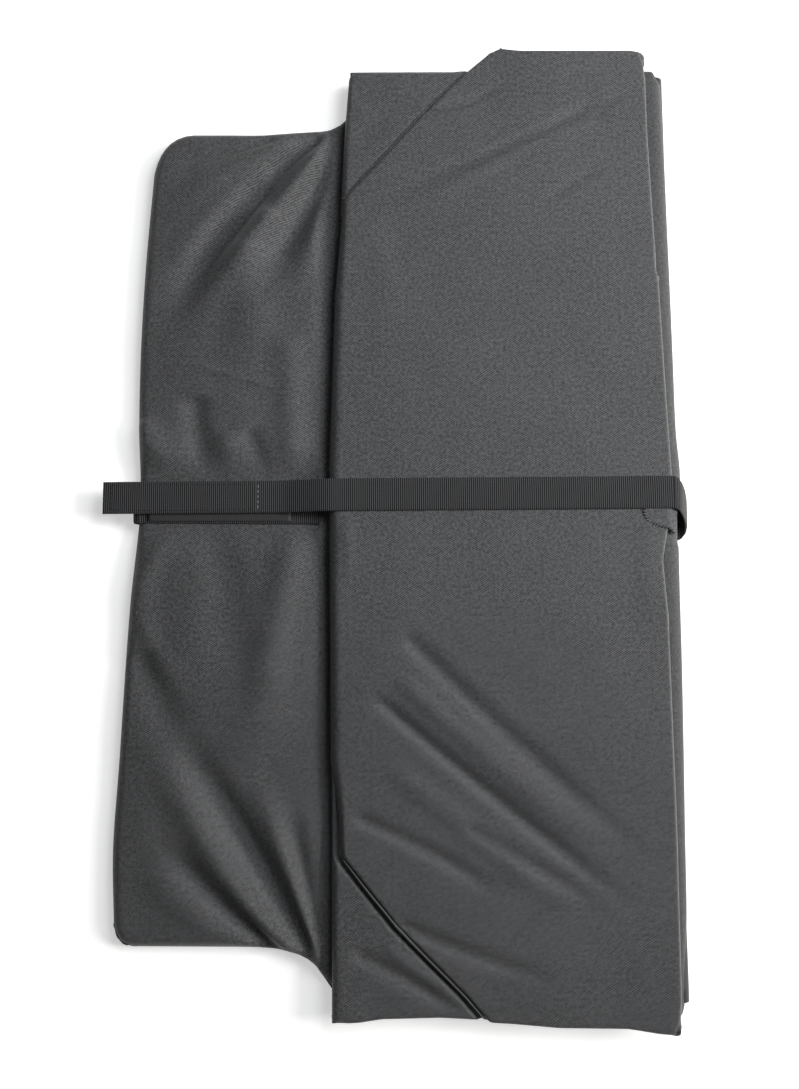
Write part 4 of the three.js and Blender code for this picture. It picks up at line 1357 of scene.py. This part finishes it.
def finish_hardware():
    """The stops, sliders, pulls and cuff elastics keep their own shape and get their finish."""
    for node, piece in frame["nodes"].items():
        kind = next((k for k in ("stop", "slider", "pull", "elastic") if k in node.split("_")), None)
        if kind is None:
            continue
        piece.data.materials.clear()
        piece.data.materials.append(finish("elastic" if kind == "elastic" else "enamel"))


# ---- Studio --------------------------------------------------------------------------------------
def area_light(name, place, target, size, watts, tint=(1.0, 1.0, 1.0)):
    """A square soft light, aimed at a point."""
    lamp = bpy.data.lights.new(name, "AREA")
    lamp.shape = "RECTANGLE"
    lamp.size, lamp.size_y = size
    lamp.energy = watts
    lamp.color = tint
    holder = bpy.data.objects.new(name, lamp)
    holder.location = place
    holder.rotation_euler = (Vector(target) - Vector(place)).to_track_quat("-Z", "Y").to_euler()
    bpy.context.scene.collection.objects.link(holder)


def build_studio():
    """A pale floor, a broad key light from the right, a soft top light and an even white surround."""
    studio = bpy.context.scene.bag_studio
    span = 3000.0
    corners = np.array([[-span, -span], [span, -span], [span, span], [-span, span]])
    points = np.concatenate([corners, np.full((4, 1), -0.15)], axis=1)
    floor = make_mesh("studio_floor", points, [[0, 1, 2, 3]], floor_material(studio.floor))
    area_light("key_light", (2.6, 0.2, 1.4), (0.0, 0.0, 0.0), (1.1, 1.1), 92.0, (1.0, 0.985, 0.965))
    area_light("top_light", (0.36, 0.3, 0.62), (0.0, 0.1, 0.0), (0.4, 0.4), 3.9, (0.97, 0.985, 1.0))
    world = bpy.data.worlds.new("surround")
    world.use_nodes = True
    backdrop = world.node_tree.nodes["Background"]
    backdrop.inputs["Color"].default_value = (1.0, 1.0, 1.0, 1.0)
    backdrop.inputs["Strength"].default_value = 0.14
    bpy.context.scene.world = world
    bpy.context.scene.view_settings.view_transform = "Standard"

    eye = bpy.data.cameras.new("camera")
    eye.lens = studio.lens
    eye.sensor_width = 36.0
    eye.clip_start = 0.01
    camera = bpy.data.objects.new("camera", eye)
    drop = studio.camera_height - SHOULDER_HIGH[2] * MM
    camera.location = (0.001, -0.0175 - math.tan(studio.tilt) * drop, studio.camera_height)
    camera.rotation_euler = (studio.tilt, 0.0, 0.0)
    bpy.context.scene.collection.objects.link(camera)
    bpy.context.scene.camera = camera


# ---- Operators, panel and run --------------------------------------------------------------------
class BAG_OT_studio(bpy.types.Operator):
    """Make the floor, the lights, the surround and the camera"""
    bl_idname = "bag.studio"
    bl_label = "Studio"

    def execute(self, context):
        build_studio()
        return {"FINISHED"}


class BAG_OT_body(bpy.types.Operator):
    """Make the bag's outer plies: the loose zip end on top, and the underside with the fold"""
    bl_idname = "bag.body"
    bl_label = "Body plies"

    def execute(self, context):
        build_body_upper()
        build_body_lower()
        return {"FINISHED"}


class BAG_OT_liners(bpy.types.Operator):
    """Make the liner's plies and its own turn round the fold"""
    bl_idname = "bag.liners"
    bl_label = "Liner plies"

    def execute(self, context):
        build_liners()
        return {"FINISHED"}


class BAG_OT_shoulders(bpy.types.Operator):
    """Make the shoulder panel, the sleeve roots and the armhole seams"""
    bl_idname = "bag.shoulders"
    bl_label = "Shoulders"

    def execute(self, context):
        build_shoulder_upper()
        build_roots()
        build_seams()
        return {"FINISHED"}


class BAG_OT_sleeves(bpy.types.Operator):
    """Make both folded sleeves with their gathered cuffs"""
    bl_idname = "bag.sleeves"
    bl_label = "Sleeves"

    def execute(self, context):
        build_sleeves()
        return {"FINISHED"}


class BAG_OT_strap(bpy.types.Operator):
    """Make the strap, its fastening tapes, its stitches and its anchor patch"""
    bl_idname = "bag.strap"
    bl_label = "Strap"

    def execute(self, context):
        build_strap()
        build_anchor_patch()
        return {"FINISHED"}


class BAG_OT_zips(bpy.types.Operator):
    """Make both zips' tapes and coils, and finish their sliders, pulls and stops"""
    bl_idname = "bag.zips"
    bl_label = "Zips"

    def execute(self, context):
        build_zip("outer", 91)
        build_zip("inner", 93)
        finish_hardware()
        return {"FINISHED"}


STEPS = (BAG_OT_studio, BAG_OT_body, BAG_OT_liners, BAG_OT_shoulders, BAG_OT_sleeves, BAG_OT_strap,
         BAG_OT_zips)
SETTINGS = {"bag_cloth": BagClothSettings, "bag_strap": BagStrapSettings, "bag_zip": BagZipSettings,
            "bag_studio": BagStudioSettings}


class BAG_PT_pieces(bpy.types.Panel):
    """Settings of the changing bag and a button for each step"""
    bl_label = "Changing bag"
    bl_space_type = "VIEW_3D"
    bl_region_type = "UI"
    bl_category = "Bag"

    def draw(self, context):
        for name, group in SETTINGS.items():
            box = self.layout.box()
            for key in group.__annotations__:
                box.prop(getattr(context.scene, name), key)
        for step in STEPS:
            self.layout.operator(step.bl_idname)


def register():
    for group in SETTINGS.values():
        bpy.utils.register_class(group)
    for step in (*STEPS, BAG_PT_pieces):
        bpy.utils.register_class(step)
    for name, group in SETTINGS.items():
        setattr(bpy.types.Scene, name, bpy.props.PointerProperty(type=group))


def unregister():
    for name in SETTINGS:
        delattr(bpy.types.Scene, name)
    for step in reversed((*STEPS, BAG_PT_pieces)):
        bpy.utils.unregister_class(step)
    for group in SETTINGS.values():
        bpy.utils.unregister_class(group)


def main():
    register()
    for step in STEPS:
        family, name = step.bl_idname.split(".")
        getattr(getattr(bpy.ops, family), name)()


if __name__ == "__main__":
    main()
